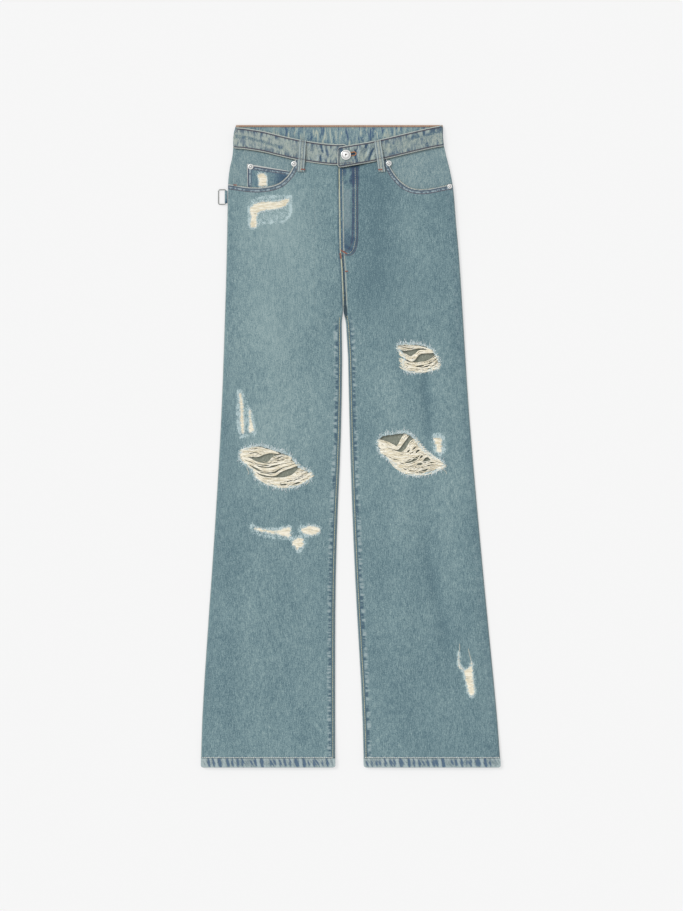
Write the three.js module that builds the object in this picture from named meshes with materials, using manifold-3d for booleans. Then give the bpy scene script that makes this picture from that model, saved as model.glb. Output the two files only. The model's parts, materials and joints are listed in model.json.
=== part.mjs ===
// Full-length ripped jeans with a high rise and wide legs, laid flat with the front up.
// Millimetres. +Z is up from the surface the jeans lie on, +Y points to the waist, and the
// wearer's right leg is on the -X side. The origin is the centre of the laid outline.
// Each cloth panel is a thin closed wall between its seams, and the walls lie on each other:
// back pockets and back loops first, then the backs, the facings, the fronts and the trim.

import * as THREE from 'three';
import { mergeVertices } from 'three/addons/utils/BufferGeometryUtils.js';
import Module from 'manifold-3d';

const wasm = await Module();
wasm.setup();

// Driving dimensions.
const LENGTH = 1059; // waist edge to hem edge
const HEM_WIDTH = 494.6; // over both hems
const HEM_DEPTH = 15;
const BAND_DEPTH = 34.5;
const CROTCH_Y = 221;
const SEAM_GAP = 0.3;
const TRIM_GAP = 0.4; // under rivets, the button's cap and the feet of the loops
const DENIM = 1.4; // one layer of leg cloth
const LIGHT_CLOTH = 0.9; // facings and the coin pocket
const FOLDED = 2.4; // waistband and hems, pressed in layers
const LEG_FULLNESS = 1.6; // how far a front stands off its back in mid leg
const LOOP_WIDTH = 12;
const LOOP_LENGTH = 52;
const LOOP_FOOT_Y = 452; // lower end of the front loops
const LOOP_CLOTH = 1.5;
const BUTTON_RADIUS = 8.3;
const RIVET_RADIUS = 4.6;
const SIDE_RIVET_RADIUS = 3.8;
const RING_WIRE = 1.8;
const RING_LENGTH = 26;
const RING_REACH = 12.2; // from the hinged bar to the free bar, centre to centre

const HEM_Y = -LENGTH / 2;
const WAIST_Y = LENGTH / 2;
const LEG_BOTTOM_Y = HEM_Y + HEM_DEPTH + SEAM_GAP;
const BACK_BAND_Y = WAIST_Y - BAND_DEPTH;
const CENTRE_BACK_X = -18;
const TAB_END_X = -22;
const CENTRE_FRONT_TOP_Y = 462;

const COLOURS = {
  denim: 0x7d989d,
  denimInside: 0x9aa8a4,
  band: 0x83969a,
  steel: 0xc9c9c6,
};

const jeans = new THREE.Group();

// ---------------------------------------------------------------- helpers

const { smoothstep, lerp, degToRad } = THREE.MathUtils;

// A smooth function through [t, value] knots in rising t.
function smooth(knots) {
  const last = knots.length - 1;
  const slopes = knots.map((knot, i) => {
    const before = knots[Math.max(i - 1, 0)];
    const after = knots[Math.min(i + 1, last)];
    return (after[1] - before[1]) / (after[0] - before[0]);
  });
  return (t) => {
    const at = THREE.MathUtils.clamp(t, knots[0][0], knots[last][0]);
    let i = 0;
    while (i < last - 1 && at > knots[i + 1][0]) i += 1;
    const [t0, value0] = knots[i];
    const [t1, value1] = knots[i + 1];
    const span = t1 - t0;
    const s = (at - t0) / span;
    const start = value0 * (1 + 2 * s) * (1 - s) ** 2 + slopes[i] * span * s * (1 - s) ** 2;
    const end = value1 * s * s * (3 - 2 * s) - slopes[i + 1] * span * s * s * (1 - s);
    return start + end;
  };
}

// Steps from 0 to 1 that crowd towards both ends, where the cloth turns.
function crowded(count) {
  return Array.from({ length: count + 1 }, (_, i) => (1 - Math.cos((Math.PI * i) / count)) / 2);
}

function even(count) {
  return Array.from({ length: count + 1 }, (_, i) => i / count);
}

// A cloth wall. place(u, v) gives the lower face, and the upper face lies `thickness` above.
function wall(columns, rows, place, thickness) {
  const across = columns.length;
  const layer = across * rows.length;
  const positions = [];
  for (const height of [0, thickness]) {
    for (const v of rows) {
      for (const u of columns) {
        const [x, y, z] = place(u, v);
        positions.push(x, y, z + height);
      }
    }
  }
  const faces = [];
  const quad = (a, b, c, d) => faces.push(a, b, c, a, c, d);
  for (let j = 0; j < rows.length - 1; j += 1) {
    for (let i = 0; i < across - 1; i += 1) {
      const a = j * across + i;
      const b = a + 1;
      const c = b + across;
      const d = a + across;
      quad(a, d, c, b);
      quad(a + layer, b + layer, c + layer, d + layer);
    }
    const left = j * across;
    const right = left + across - 1;
    quad(left, left + layer, left + layer + across, left + across);
    quad(right, right + across, right + across + layer, right + layer);
  }
  for (let i = 0; i < across - 1; i += 1) {
    const top = (rows.length - 1) * across + i;
    quad(i, i + 1, i + 1 + layer, i + layer);
    quad(top, top + layer, top + 1 + layer, top + 1);
  }
  const geometry = new THREE.BufferGeometry();
  geometry.setAttribute('position', new THREE.Float32BufferAttribute(positions, 3));
  geometry.setIndex(faces);
  return geometry;
}

// An upright prism over a flat outline.
function prism(outline, bottom, top) {
  const shape = new THREE.Shape(outline.map(([x, y]) => new THREE.Vector2(x, y)));
  const geometry = new THREE.ExtrudeGeometry(shape, { depth: top - bottom, bevelEnabled: false });
  return geometry.translate(0, 0, bottom);
}

// A closed smooth outline through a few points.
function blob(points, count) {
  const corners = points.map(([x, y]) => new THREE.Vector3(x, y, 0));
  const curve = new THREE.CatmullRomCurve3(corners, true, 'centripetal');
  return curve.getPoints(count).slice(0, -1).map((p) => [p.x, p.y]);
}

function toManifold(geometry) {
  const bare = geometry.clone();
  bare.deleteAttribute('normal');
  bare.deleteAttribute('uv');
  const merged = mergeVertices(bare, 1e-4);
  const vertProperties = new Float32Array(merged.attributes.position.array);
  const triVerts = new Uint32Array(merged.index.array);
  return new wasm.Manifold(new wasm.Mesh({ numProp: 3, vertProperties, triVerts }));
}

function fromManifold(solid) {
  const mesh = solid.getMesh();
  const geometry = new THREE.BufferGeometry();
  geometry.setAttribute('position', new THREE.BufferAttribute(mesh.vertProperties, 3));
  geometry.setIndex(new THREE.BufferAttribute(mesh.triVerts, 1));
  return geometry;
}

function cut(geometry, ...cutters) {
  const solid = cutters.reduce((rest, cutter) => rest.subtract(toManifold(cutter)), toManifold(geometry));
  return fromManifold(solid);
}

function add(name, geometry, colour, roughness = 0.9, metalness = 0) {
  geometry.computeVertexNormals();
  const material = new THREE.MeshStandardMaterial({ color: colour, roughness, metalness });
  const mesh = new THREE.Mesh(geometry, material);
  mesh.name = name;
  jeans.add(mesh);
  return mesh;
}

// ---------------------------------------------------------------- outline and heights

// Side seams and inseams: x at each height up the garment.
const outseamRight = smooth([
  [HEM_Y, -HEM_WIDTH / 2], [-440, -244.6], [-300, -235.7], [-155, -225.6], [43, -214],
  [241, -206.7], [373, -203.4], [430, -202.4], [456, -200], [471, -196.2], [486, -193.8],
  [514, -193.4], [WAIST_Y, -189],
]);
const outseamLeft = smooth([
  [HEM_Y, HEM_WIDTH / 2], [-440, 240.8], [-300, 227.2], [-155, 213.4], [43, 196],
  [175, 187.4], [307, 179], [373, 173.2], [423, 169.2], [456, 163], [482, 156.4],
  [500, 153], [WAIST_Y, 151.4],
]);
const inseamRight = smooth([
  [HEM_Y, -25.5], [-254, -25.2], [-122, -22], [10, -16.4], [142, -14], [205, -14.8], [CROTCH_Y, -12.7],
]);
const inseamLeft = smooth([
  [HEM_Y, 21.5], [-419, 18.2], [-353, 14.6], [-221, 7.3], [-89, 1.7], [43, -2.4], [175, -5.4],
  [205, -8.2], [CROTCH_Y, -12],
]);
const centreFront = smooth([[CROTCH_Y, -12.4], [291, -15], [324, -18], [CENTRE_FRONT_TOP_Y, -20.2]]);

// Lower edge of the front waistband on each side.
const bandEdgeRight = smooth([[-194, 492], [-147, 485], [-114, 477], [-72, 468.3], [-23, 463], [16, 466.5]]);
const bandEdgeLeft = smooth([[TAB_END_X, 458], [-1, 461.5], [40, 469], [99, 483], [134, 491], [154, 494.6]]);

// The seat lies on the back pockets and back loops.
function seatLift(y) {
  return (DENIM + SEAM_GAP) * smoothstep(y, 110, 240);
}

// The pressed layers of the hem hold the front up.
function hemLift(y) {
  return (FOLDED - DENIM) * 2 * (1 - smoothstep(y, LEG_BOTTOM_Y, LEG_BOTTOM_Y + 60));
}

// How far the front stands off the back across the leg, nothing at the seams.
function fullness(u, y) {
  const across = 1 - (2 * u - 1) ** 4;
  const along = 1 - 0.3 * (1 - smoothstep(y, HEM_Y, HEM_Y + 90)) - smoothstep(y, 250, 400);
  return LEG_FULLNESS * across * along;
}

// The front climbs over the facing, and on the wearer's right over the coin pocket too.
function pocketLift(x, y) {
  const layer = LIGHT_CLOTH + SEAM_GAP;
  const up = smoothstep(y, 290, 400);
  if (x > CENTRE_BACK_X) return layer * up * smoothstep(x, 0, 44);
  const facing = smoothstep(-x, 22, 72);
  const coin = smoothstep(x, -196, -174) * smoothstep(-x, 30, 90);
  return layer * up * (facing + coin);
}

function frontLower(x, y) {
  return DENIM + SEAM_GAP + seatLift(y) + hemLift(y) + pocketLift(x, y);
}

function frontTop(x, y) {
  return frontLower(x, y) + DENIM;
}

const SEAT_TOP = 2 * DENIM + SEAM_GAP; // upper face of the lifted backs and yokes
const FACING_Z = SEAT_TOP + SEAM_GAP;
const COIN_Z = FACING_Z + LIGHT_CLOTH + SEAM_GAP;
const BACK_BAND_Z = DENIM + SEAM_GAP;
const BAND_Z = 5.2;
const UNDERLAP_Z = BACK_BAND_Z + FOLDED + SEAM_GAP;
const TAB_Z = UNDERLAP_Z + FOLDED + SEAM_GAP;

// ---------------------------------------------------------------- damage

// Open areas of the three big rips, inside their frayed margins.
const RIP_KNEE_RIGHT = [
  [-172, -10], [-152, -3], [-128, -9], [-104, -21], [-88, -38], [-76, -48], [-90, -58],
  [-110, -63], [-132, -57], [-150, -46], [-166, -28],
];
const RIP_KNEE_LEFT = [
  [51, 11], [70, 17], [92, 18], [107, 5], [121, -12], [148, -30], [130, -40], [106, -43],
  [84, -37], [68, -20], [55, -8],
];
const RIP_THIGH_LEFT = [
  [84, 162], [104, 164], [126, 158], [138, 146], [139, 134], [120, 128], [98, 128], [89, 142],
];

function ripCutter(points) {
  return prism(blob(points, 30), -1, 20);
}

// ---------------------------------------------------------------- legs

// Stations up a front or back panel, closer together above the crotch.
function panelRows(bottom, top) {
  const crotch = (CROTCH_Y - bottom) / (top - bottom);
  const notch = (CROTCH_Y - 16 - bottom) / (top - bottom);
  const legs = even(12).map((v) => v * notch);
  const rise = even(11).slice(1).map((v) => lerp(crotch, 1, v));
  return [...legs, crotch, ...rise];
}

function innerEdge(inseam, centre, side) {
  return (y) => (y < CROTCH_Y ? inseam(y) : centre(y) + (side * SEAM_GAP) / 2);
}

// A leg panel between two edges, from the hem seam up to a top edge that follows x.
function legPanel(low, high, topEdge, innerTop, height) {
  const topLow = low(innerTop + 20);
  const topHigh = high(innerTop + 20);
  const place = (u, v) => {
    const top = topEdge(lerp(topLow, topHigh, u)) - SEAM_GAP;
    const y = lerp(LEG_BOTTOM_Y, top, v);
    const x = lerp(low(y), high(y), u);
    return [x, y, height(u, x, y)];
  };
  return wall(crowded(10), panelRows(LEG_BOTTOM_Y, innerTop), place, DENIM);
}

function frontHeight(u, x, y) {
  return frontLower(x, y) + fullness(u, y);
}

// Pocket mouths: the scooped edge, then round outside the panel.
const SCOOP_RIGHT = new THREE.SplineCurve([
  [-91, 476], [-93.5, 464], [-98, 454], [-105, 444], [-118, 433], [-138, 427], [-165, 426], [-206, 432],
].map(([x, y]) => new THREE.Vector2(x, y)));
const SCOOP_LEFT = new THREE.SplineCurve([
  [58, 478], [61.5, 466], [67, 456], [75, 444], [87, 432], [102, 424.5], [122, 423], [145, 427], [176, 433],
].map(([x, y]) => new THREE.Vector2(x, y)));

function mouthCutter(scoop, outerX) {
  const edge = scoop.getPoints(22).map((p) => [p.x, p.y]);
  const end = edge[edge.length - 1];
  return prism([...edge, [outerX, end[1]], [outerX, 540], [edge[0][0], 540]], -1, 20);
}

function addFronts() {
  const innerRight = innerEdge(inseamRight, centreFront, -1);
  const innerLeft = innerEdge(inseamLeft, centreFront, 1);
  const right = legPanel(outseamRight, innerRight, bandEdgeRight, 463, frontHeight);
  const left = legPanel(innerLeft, outseamLeft, bandEdgeLeft, 458, frontHeight);
  const openRight = cut(right, mouthCutter(SCOOP_RIGHT, -240), ripCutter(RIP_KNEE_RIGHT));
  const openLeft = cut(
    left, mouthCutter(SCOOP_LEFT, 210), ripCutter(RIP_KNEE_LEFT), ripCutter(RIP_THIGH_LEFT),
  );
  add('front_right', openRight, COLOURS.denim);
  add('front_left', openLeft, COLOURS.denim);
}

// The yoke seam falls from the side seams to the centre back.
function yokeSeam(x) {
  const side = x < CENTRE_BACK_X ? -194 : 154;
  return lerp(424, 456, (x - CENTRE_BACK_X) / (side - CENTRE_BACK_X));
}

const centreBack = smooth([[CROTCH_Y, -12.4], [300, -15.5], [420, CENTRE_BACK_X], [WAIST_Y, CENTRE_BACK_X]]);

function addBacks() {
  const innerRight = innerEdge(inseamRight, centreBack, -1);
  const innerLeft = innerEdge(inseamLeft, centreBack, 1);
  const height = (u, x, y) => seatLift(y);
  add('back_right', legPanel(outseamRight, innerRight, yokeSeam, 424, height), COLOURS.denim);
  add('back_left', legPanel(innerLeft, outseamLeft, yokeSeam, 424, height), COLOURS.denim);
}

function addYokes() {
  const yoke = (low, high) => {
    const place = (u, v) => {
      const seam = yokeSeam(lerp(low(450), high(450), u));
      const y = lerp(seam, BACK_BAND_Y - SEAM_GAP, v);
      return [lerp(low(y), high(y), u), y, DENIM + SEAM_GAP];
    };
    return wall(crowded(6), even(4), place, DENIM);
  };
  add('yoke_right', yoke(outseamRight, innerEdge(inseamRight, centreBack, -1)), COLOURS.denim);
  add('yoke_left', yoke(innerEdge(inseamLeft, centreBack, 1), outseamLeft), COLOURS.denim);
}

function addHems() {
  const hem = (low, high, height) => {
    const place = (u, v) => {
      const y = lerp(HEM_Y, HEM_Y + HEM_DEPTH, v);
      return [lerp(low(y), high(y), u), y, height(u, y)];
    };
    return wall(crowded(10), even(1), place, FOLDED);
  };
  const front = (u, y) => FOLDED + SEAM_GAP + fullness(u, y);
  const back = () => 0;
  add('hem_front_right', hem(outseamRight, inseamRight, front), COLOURS.denim);
  add('hem_front_left', hem(inseamLeft, outseamLeft, front), COLOURS.denim);
  add('hem_back_right', hem(outseamRight, inseamRight, back), COLOURS.denim);
  add('hem_back_left', hem(inseamLeft, outseamLeft, back), COLOURS.denim);
}

// ---------------------------------------------------------------- waistband

// The tab's corners are rounded: how far its end draws in at x.
function tabCorner(x) {
  const radius = 5;
  const inside = Math.min(x - TAB_END_X, radius);
  return radius - Math.sqrt(radius ** 2 - (radius - inside) ** 2);
}

function addWaistband() {
  const right = (u, v) => {
    const x = lerp(-193.4, 14, u);
    const y = bandEdgeRight(x) + BAND_DEPTH * v;
    const outer = x < -180 ? outseamRight(y) : x;
    return [outer, y, lerp(BAND_Z, UNDERLAP_Z, smoothstep(x, -64, -24))];
  };
  add('waistband_front_right', wall(even(24), even(2), right, FOLDED), COLOURS.band);

  const ends = [0, 0.006, 0.015, 0.029];
  const leftColumns = [...ends, ...even(20).slice(1)];
  const left = (u, v) => {
    const x = lerp(TAB_END_X, 153, u);
    const corner = tabCorner(x);
    const y = bandEdgeLeft(x) + corner + (BAND_DEPTH - 2 * corner) * v;
    const outer = x > 146 ? outseamLeft(y) : x;
    return [outer, y, lerp(TAB_Z, BAND_Z, smoothstep(x, 8, 37))];
  };
  const band = wall(leftColumns, even(2), left, FOLDED);
  add('waistband_front_left', cut(band, buttonhole()), COLOURS.band);

  const back = (u, v) => {
    const y = lerp(BACK_BAND_Y, WAIST_Y, v);
    return [lerp(outseamRight(y), outseamLeft(y), u), y, BACK_BAND_Z];
  };
  add('waistband_back', wall(crowded(16), even(3), back, FOLDED), COLOURS.denimInside);
}

const BUTTON = { x: -8, y: 479.5 };
const SHANK_RADIUS = 1.3;

// A slot from the button towards the side, 3.4 mm wide, that the shank stands in.
function buttonhole() {
  const half = SHANK_RADIUS + 0.4;
  const slot = new THREE.Shape();
  slot.absarc(0, 0, half, Math.PI / 2, (3 * Math.PI) / 2);
  slot.absarc(14, 0, half, -Math.PI / 2, Math.PI / 2);
  const geometry = new THREE.ExtrudeGeometry(slot, { depth: 20, bevelEnabled: false, curveSegments: 5 });
  geometry.rotateZ(degToRad(9));
  return geometry.translate(BUTTON.x, BUTTON.y, 0);
}

// ---------------------------------------------------------------- pockets

function addFacings() {
  const facing = (low, high, edge, bottom) => {
    const place = (u, v) => {
      const top = edge(lerp(low(480), high(480), u)) - SEAM_GAP;
      const y = lerp(bottom, top, v);
      return [lerp(low(y), high(y), u), y, FACING_Z];
    };
    return wall(even(8), even(5), place, LIGHT_CLOTH);
  };
  const right = facing(outseamRight, () => -80, bandEdgeRight, 411);
  const left = facing(() => 48, outseamLeft, bandEdgeLeft, 409);
  add('pocket_facing_right', right, COLOURS.denim);
  add('pocket_facing_left', left, COLOURS.denim);
}

function addCoinPocket() {
  const outline = [[-171, 465.5], [-98, 453], [-100, 440], [-108, 417], [-170, 415]];
  add('coin_pocket', prism(outline, COIN_Z, COIN_Z + LIGHT_CLOTH), COLOURS.denim);
}

function addBackPockets() {
  for (const [name, x] of [['back_pocket_right', -112], ['back_pocket_left', 78]]) {
    const outline = [[-72, 408], [-64, 272], [0, 248], [64, 272], [72, 408]];
    const shifted = outline.map(([dx, y]) => [x + dx, y]).reverse();
    add(name, prism(shifted, 0, DENIM), COLOURS.denim);
  }
}

// ---------------------------------------------------------------- belt loops

// A front loop is a strip sewn down at both ends that stands off the band between them.
function frontLoop(topX, footX, footZ, bandZ) {
  const heights = smooth([
    [0, footZ], [0.14, footZ], [0.34, bandZ + 1], [0.6, bandZ + 1.7], [0.86, bandZ], [1, bandZ],
  ]);
  const place = (u, v) => {
    const x = lerp(footX, topX, v) + (u - 0.5) * LOOP_WIDTH;
    return [x, LOOP_FOOT_Y + LOOP_LENGTH * v, heights(v)];
  };
  return wall(even(2), even(14), place, LOOP_CLOTH);
}

function addBeltLoops() {
  const bandTop = BAND_Z + FOLDED + SEAM_GAP;
  const frontLoops = { right: [-79, -82.3], left: [43.8, 51.2] };
  for (const [side, [topX, footX]] of Object.entries(frontLoops)) {
    const footZ = frontTop(footX, LOOP_FOOT_Y) + TRIM_GAP;
    add(`belt_loop_front_${side}`, frontLoop(topX, footX, footZ, bandTop), COLOURS.denim);
  }
  const backLoops = { right: -122, center: CENTRE_BACK_X, left: 86 };
  for (const [side, x] of Object.entries(backLoops)) {
    const strip = new THREE.BoxGeometry(LOOP_WIDTH, LOOP_LENGTH, DENIM);
    strip.translate(x, WAIST_Y - 1 - LOOP_LENGTH / 2, DENIM / 2);
    add(`belt_loop_back_${side}`, strip, COLOURS.denim);
  }
}

// ---------------------------------------------------------------- metal

// A turned piece standing on z = 0 around its own axis, from [radius, height] points.
function turned(profile, segments = 20) {
  const geometry = new THREE.LatheGeometry(profile.map(([r, z]) => new THREE.Vector2(r, z)), segments);
  return geometry.rotateX(Math.PI / 2);
}

function addMetal(name, geometry, x, y, z) {
  const mesh = add(name, geometry, COLOURS.steel, 0.3, 0.9);
  mesh.position.set(x, y, z);
  return mesh;
}

function addButton() {
  const shankTop = FOLDED + TRIM_GAP;
  const cap = BUTTON_RADIUS;
  const profile = [
    [0, 0], [SHANK_RADIUS, 0], [SHANK_RADIUS, shankTop], [cap - 0.8, shankTop], [cap, shankTop + 0.9],
    [cap - 0.3, shankTop + 2.2], [cap - 1.4, shankTop + 2.8], [cap - 2.3, shankTop + 2.1],
    [3.4, shankTop + 2.7], [0, shankTop + 2.9],
  ];
  addMetal('waist_button', turned(profile, 24), BUTTON.x, BUTTON.y, TAB_Z);
}

function rivet(radius) {
  return turned([
    [0, 0], [radius, 0], [radius, 0.5], [radius * 0.8, 1.2],
    [radius * 0.45, 1.0], [radius * 0.32, 1.6], [0, 1.8],
  ], 16);
}

function addRivets() {
  const coinTop = COIN_Z + LIGHT_CLOTH;
  addMetal('rivet_coin_pocket', rivet(RIVET_RADIUS), -165, 460.5, coinTop + TRIM_GAP);
  const onFront = [
    ['rivet_pocket_right', RIVET_RADIUS, -93.6, 465],
    ['rivet_pocket_left', RIVET_RADIUS, 62.8, 466],
    ['rivet_side_left', SIDE_RIVET_RADIUS, 163, 428],
  ];
  for (const [name, radius, x, y] of onFront) {
    addMetal(name, rivet(radius), x, y, frontTop(x, y) + TRIM_GAP);
  }
}

// ---------------------------------------------------------------- side ring

const RING = { x: -206, y: 411, z: 2.2 };

// A folded tab whose tunnel holds the ring's bar. It butts the side seam.
function addRingTab() {
  const tunnel = RING_WIRE / 2 + SEAM_GAP;
  const outer = RING.z;
  const width = RING_LENGTH - 2 * RING_WIRE - 1.2;
  const seam = outseamRight(RING.y) - SEAM_GAP - 0.2 - RING.x;
  const section = new THREE.Shape();
  section.moveTo(seam, -0.8);
  section.lineTo(seam, 1.4);
  section.lineTo(0.4, outer);
  section.absarc(0, 0, outer, Math.PI / 2, (3 * Math.PI) / 2);
  section.lineTo(0.4, -outer);
  const hole = new THREE.Path();
  hole.absarc(0, 0, tunnel, 0, 2 * Math.PI, true);
  section.holes.push(hole);
  const solid = { depth: width, bevelEnabled: false, curveSegments: 10 };
  const geometry = new THREE.ExtrudeGeometry(section, solid);
  geometry.translate(0, 0, -width / 2).rotateX(Math.PI / 2);
  const mesh = add('ring_tab', geometry, COLOURS.denim);
  mesh.position.set(RING.x, RING.y, RING.z);
}

function roundedRectangle(target, x0, y0, x1, y1, radius) {
  target.absarc(x1 - radius, y0 + radius, radius, -Math.PI / 2, 0);
  target.absarc(x1 - radius, y1 - radius, radius, 0, Math.PI / 2);
  target.absarc(x0 + radius, y1 - radius, radius, Math.PI / 2, Math.PI);
  target.absarc(x0 + radius, y0 + radius, radius, Math.PI, 1.5 * Math.PI);
  return target;
}

// A rectangular wire ring. It turns on its inner bar, and its free bar rests on the surface.
function addSideRing() {
  const wire = RING_WIRE / 2;
  const bevel = 0.45;
  const half = RING_LENGTH / 2;
  const inset = wire - bevel;
  const outer = roundedRectangle(
    new THREE.Shape(), -RING_REACH - inset, -half + bevel, inset, half - bevel, 2.2,
  );
  const hole = roundedRectangle(
    new THREE.Path(), -RING_REACH + inset, -half + RING_WIRE - bevel, -inset, half - RING_WIRE + bevel, 1.2,
  );
  outer.holes.push(hole);
  const solid = { depth: RING_WIRE - 2 * bevel, bevelThickness: bevel, bevelSize: bevel };
  const geometry = new THREE.ExtrudeGeometry(outer, { ...solid, bevelSegments: 1, curveSegments: 3 });
  geometry.translate(0, 0, -inset);
  const mesh = add('side_ring', geometry, COLOURS.steel, 0.3, 0.9);
  const drop = Math.asin((RING.z - wire) / RING_REACH);
  mesh.position.set(RING.x, RING.y, RING.z);
  mesh.rotation.y = -drop;
}

// ---------------------------------------------------------------- assembly

addFronts();
addBacks();
addYokes();
addHems();
addWaistband();
addFacings();
addCoinPocket();
addBackPockets();
addBeltLoops();
addButton();
addRivets();
addRingTab();
addSideRing();

export default jeans;
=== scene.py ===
"""Ripped wide-leg jeans laid flat: fine cloth, rips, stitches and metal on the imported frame.

Lengths are in millimetres until a mesh is made. The wearer's right leg is on the -X side.
"""

import json
import math

import bpy
import numpy as np
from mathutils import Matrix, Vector
from mathutils.bvhtree import BVHTree


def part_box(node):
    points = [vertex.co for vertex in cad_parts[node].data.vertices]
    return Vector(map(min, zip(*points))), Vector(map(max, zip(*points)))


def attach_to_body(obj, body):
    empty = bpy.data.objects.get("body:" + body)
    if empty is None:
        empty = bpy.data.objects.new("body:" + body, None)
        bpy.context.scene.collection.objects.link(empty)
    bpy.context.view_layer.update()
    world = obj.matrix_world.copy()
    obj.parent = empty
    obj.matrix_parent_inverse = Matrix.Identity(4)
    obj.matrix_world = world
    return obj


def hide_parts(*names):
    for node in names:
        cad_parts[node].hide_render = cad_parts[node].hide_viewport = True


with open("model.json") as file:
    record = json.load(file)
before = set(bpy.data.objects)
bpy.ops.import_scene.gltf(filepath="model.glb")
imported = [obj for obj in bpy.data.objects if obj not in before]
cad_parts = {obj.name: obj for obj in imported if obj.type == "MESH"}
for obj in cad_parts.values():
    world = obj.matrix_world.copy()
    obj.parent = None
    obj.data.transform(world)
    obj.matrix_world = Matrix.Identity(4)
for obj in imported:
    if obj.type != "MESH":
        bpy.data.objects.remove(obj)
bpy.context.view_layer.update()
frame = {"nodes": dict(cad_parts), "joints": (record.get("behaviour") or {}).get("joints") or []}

MM = 0.001
GARMENT = "garment"
SIDES = ("right", "left")
ALONG_X, ALONG_Y = 0, 1
LOW, HIGH = 0, 1
SKY = 60.0  # rays start from this height, above everything
FAR = 40.0  # the largest distance that a point is given
CLOTH = 1.15  # thickness of one layer of denim
THIN = 0.8  # thickness of the pocket facings and the coin pocket
FOLDED = 2.0  # thickness of the pressed waistband and hems
CROTCH_Y = 221.0


# ---------------------------------------------------------------- numbers


def blend(low, high, share):
    return low + (high - low) * share


def fade(value, start, end):
    """Smooth step from 0 at start to 1 at end."""
    t = np.clip((np.asarray(value, float) - start) / (end - start), 0, 1)
    return t * t * (3 - 2 * t)


def fall(value, start, end):
    """Smooth step from 1 at start to 0 at end."""
    return 1 - fade(value, start, end)


def between(value, start, full, last, end):
    """1 from full to last, fading to 0 at start and end."""
    return fade(value, start, full) * fall(value, last, end)


def ripple(along, wavelength, seed):
    """A smooth uneven wave of about that wavelength, from -1 to 1."""
    draw = np.random.default_rng(seed)
    total = 0
    for spread in (0.68, 0.85, 1.0, 1.22, 1.55):
        phase, weight = draw.uniform(0, 2 * math.pi), draw.uniform(0.5, 1)
        total = total + weight * np.sin(2 * math.pi * along / (wavelength * spread) + phase)
    return np.clip(total / 2.4, -1, 1)


def softened(values, reach, axis=0):
    """The values averaged along an axis over about 2 x reach neighbours, ends kept."""
    values = np.moveaxis(np.asarray(values, float), axis, 0)
    kernel = np.hanning(2 * reach + 3)[1:-1]
    kernel = kernel / kernel.sum()
    before = 2 * values[:1] - values[1 : reach + 1][::-1]
    after = 2 * values[-1:] - values[-reach - 1 : -1][::-1]
    padded = np.concatenate([before, values, after])
    total = sum(k * padded[i : i + len(values)] for i, k in enumerate(kernel))
    return np.moveaxis(total, 0, axis)


# ---------------------------------------------------------------- lines and outlines


def distances_along(line):
    steps = np.linalg.norm(np.diff(line, axis=0), axis=1)
    return np.concatenate([[0], np.cumsum(steps)])


def resampled(line, count):
    """The same line with that many points, an even step apart."""
    along = distances_along(line)
    at = np.linspace(0, along[-1], count)
    return np.stack([np.interp(at, along, values) for values in line.T], axis=1)


def spaced(line, step):
    """The same line with its points an even step apart."""
    return resampled(line, max(2, int(round(distances_along(line)[-1] / step)) + 1))


def closed(outline):
    """An outline as a line that comes back to its start."""
    return np.vstack([outline, outline[:1]])


def curve_through(a, b, c, d):
    """Smooth curves from points b to points c, where a come before and d after."""
    t = np.linspace(0, 1, 24, endpoint=False)[:, None, None]
    square, cube = 2 * a - 5 * b + 4 * c - d, 3 * b - a - 3 * c + d
    curve = 0.5 * (2 * b + (c - a) * t + square * t**2 + cube * t**3)
    return curve.transpose(1, 0, 2).reshape(-1, b.shape[1])


def smooth_loop(points, step):
    """A closed smooth outline through given points, with a point every step."""
    p = np.array(points, float)
    curve = curve_through(np.roll(p, 1, 0), p, np.roll(p, -1, 0), np.roll(p, -2, 0))
    return spaced(closed(curve), step)[:-1]


def smooth_line(points, step):
    """An open smooth line through given points, with a point every step."""
    p = np.array(points, float)
    p = np.vstack([2 * p[0] - p[1], p, 2 * p[-1] - p[-2]])
    curve = curve_through(p[:-3], p[1:-2], p[2:-1], p[3:])
    return spaced(np.vstack([curve, p[-2:-1]]), step)


def offset_line(line, distance):
    """A line moved sideways, to the left of its direction."""
    slope = np.gradient(line, axis=0)
    slope = slope / np.linalg.norm(slope, axis=1, keepdims=True)
    return line + distance * np.stack([-slope[:, 1], slope[:, 0]], axis=1)


def nearest_on(points, line):
    """Distance from each point to a line, and the nearest point on it."""
    best = np.full(len(points), np.inf)
    spot = np.zeros_like(points)
    for start, end in zip(line[:-1], line[1:]):
        span = end - start
        share = np.clip((points - start) @ span / max(span @ span, 1e-9), 0, 1)
        here = start + share[:, None] * span
        distance = np.linalg.norm(points - here, axis=1)
        closer = distance < best
        best[closer] = distance[closer]
        spot[closer] = here[closer]
    return best, spot


def inside(points, outline):
    """Whether each point is inside a closed outline."""
    x, y = points[:, 0], points[:, 1]
    found = np.zeros(len(points), bool)
    for (x0, y0), (x1, y1) in zip(outline, np.roll(outline, -1, 0)):
        if y0 == y1:
            continue
        crosses = (y0 > y) != (y1 > y)
        found ^= crosses & (x < (x1 - x0) * (y - y0) / (y1 - y0) + x0)
    return found


def flat_points(x, y):
    return np.stack([x.ravel(), y.ravel()], axis=1)


def line_distance(x, y, line):
    """Distance from a line, over a grid."""
    return nearest_on(flat_points(x, y), line)[0].reshape(x.shape)


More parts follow.
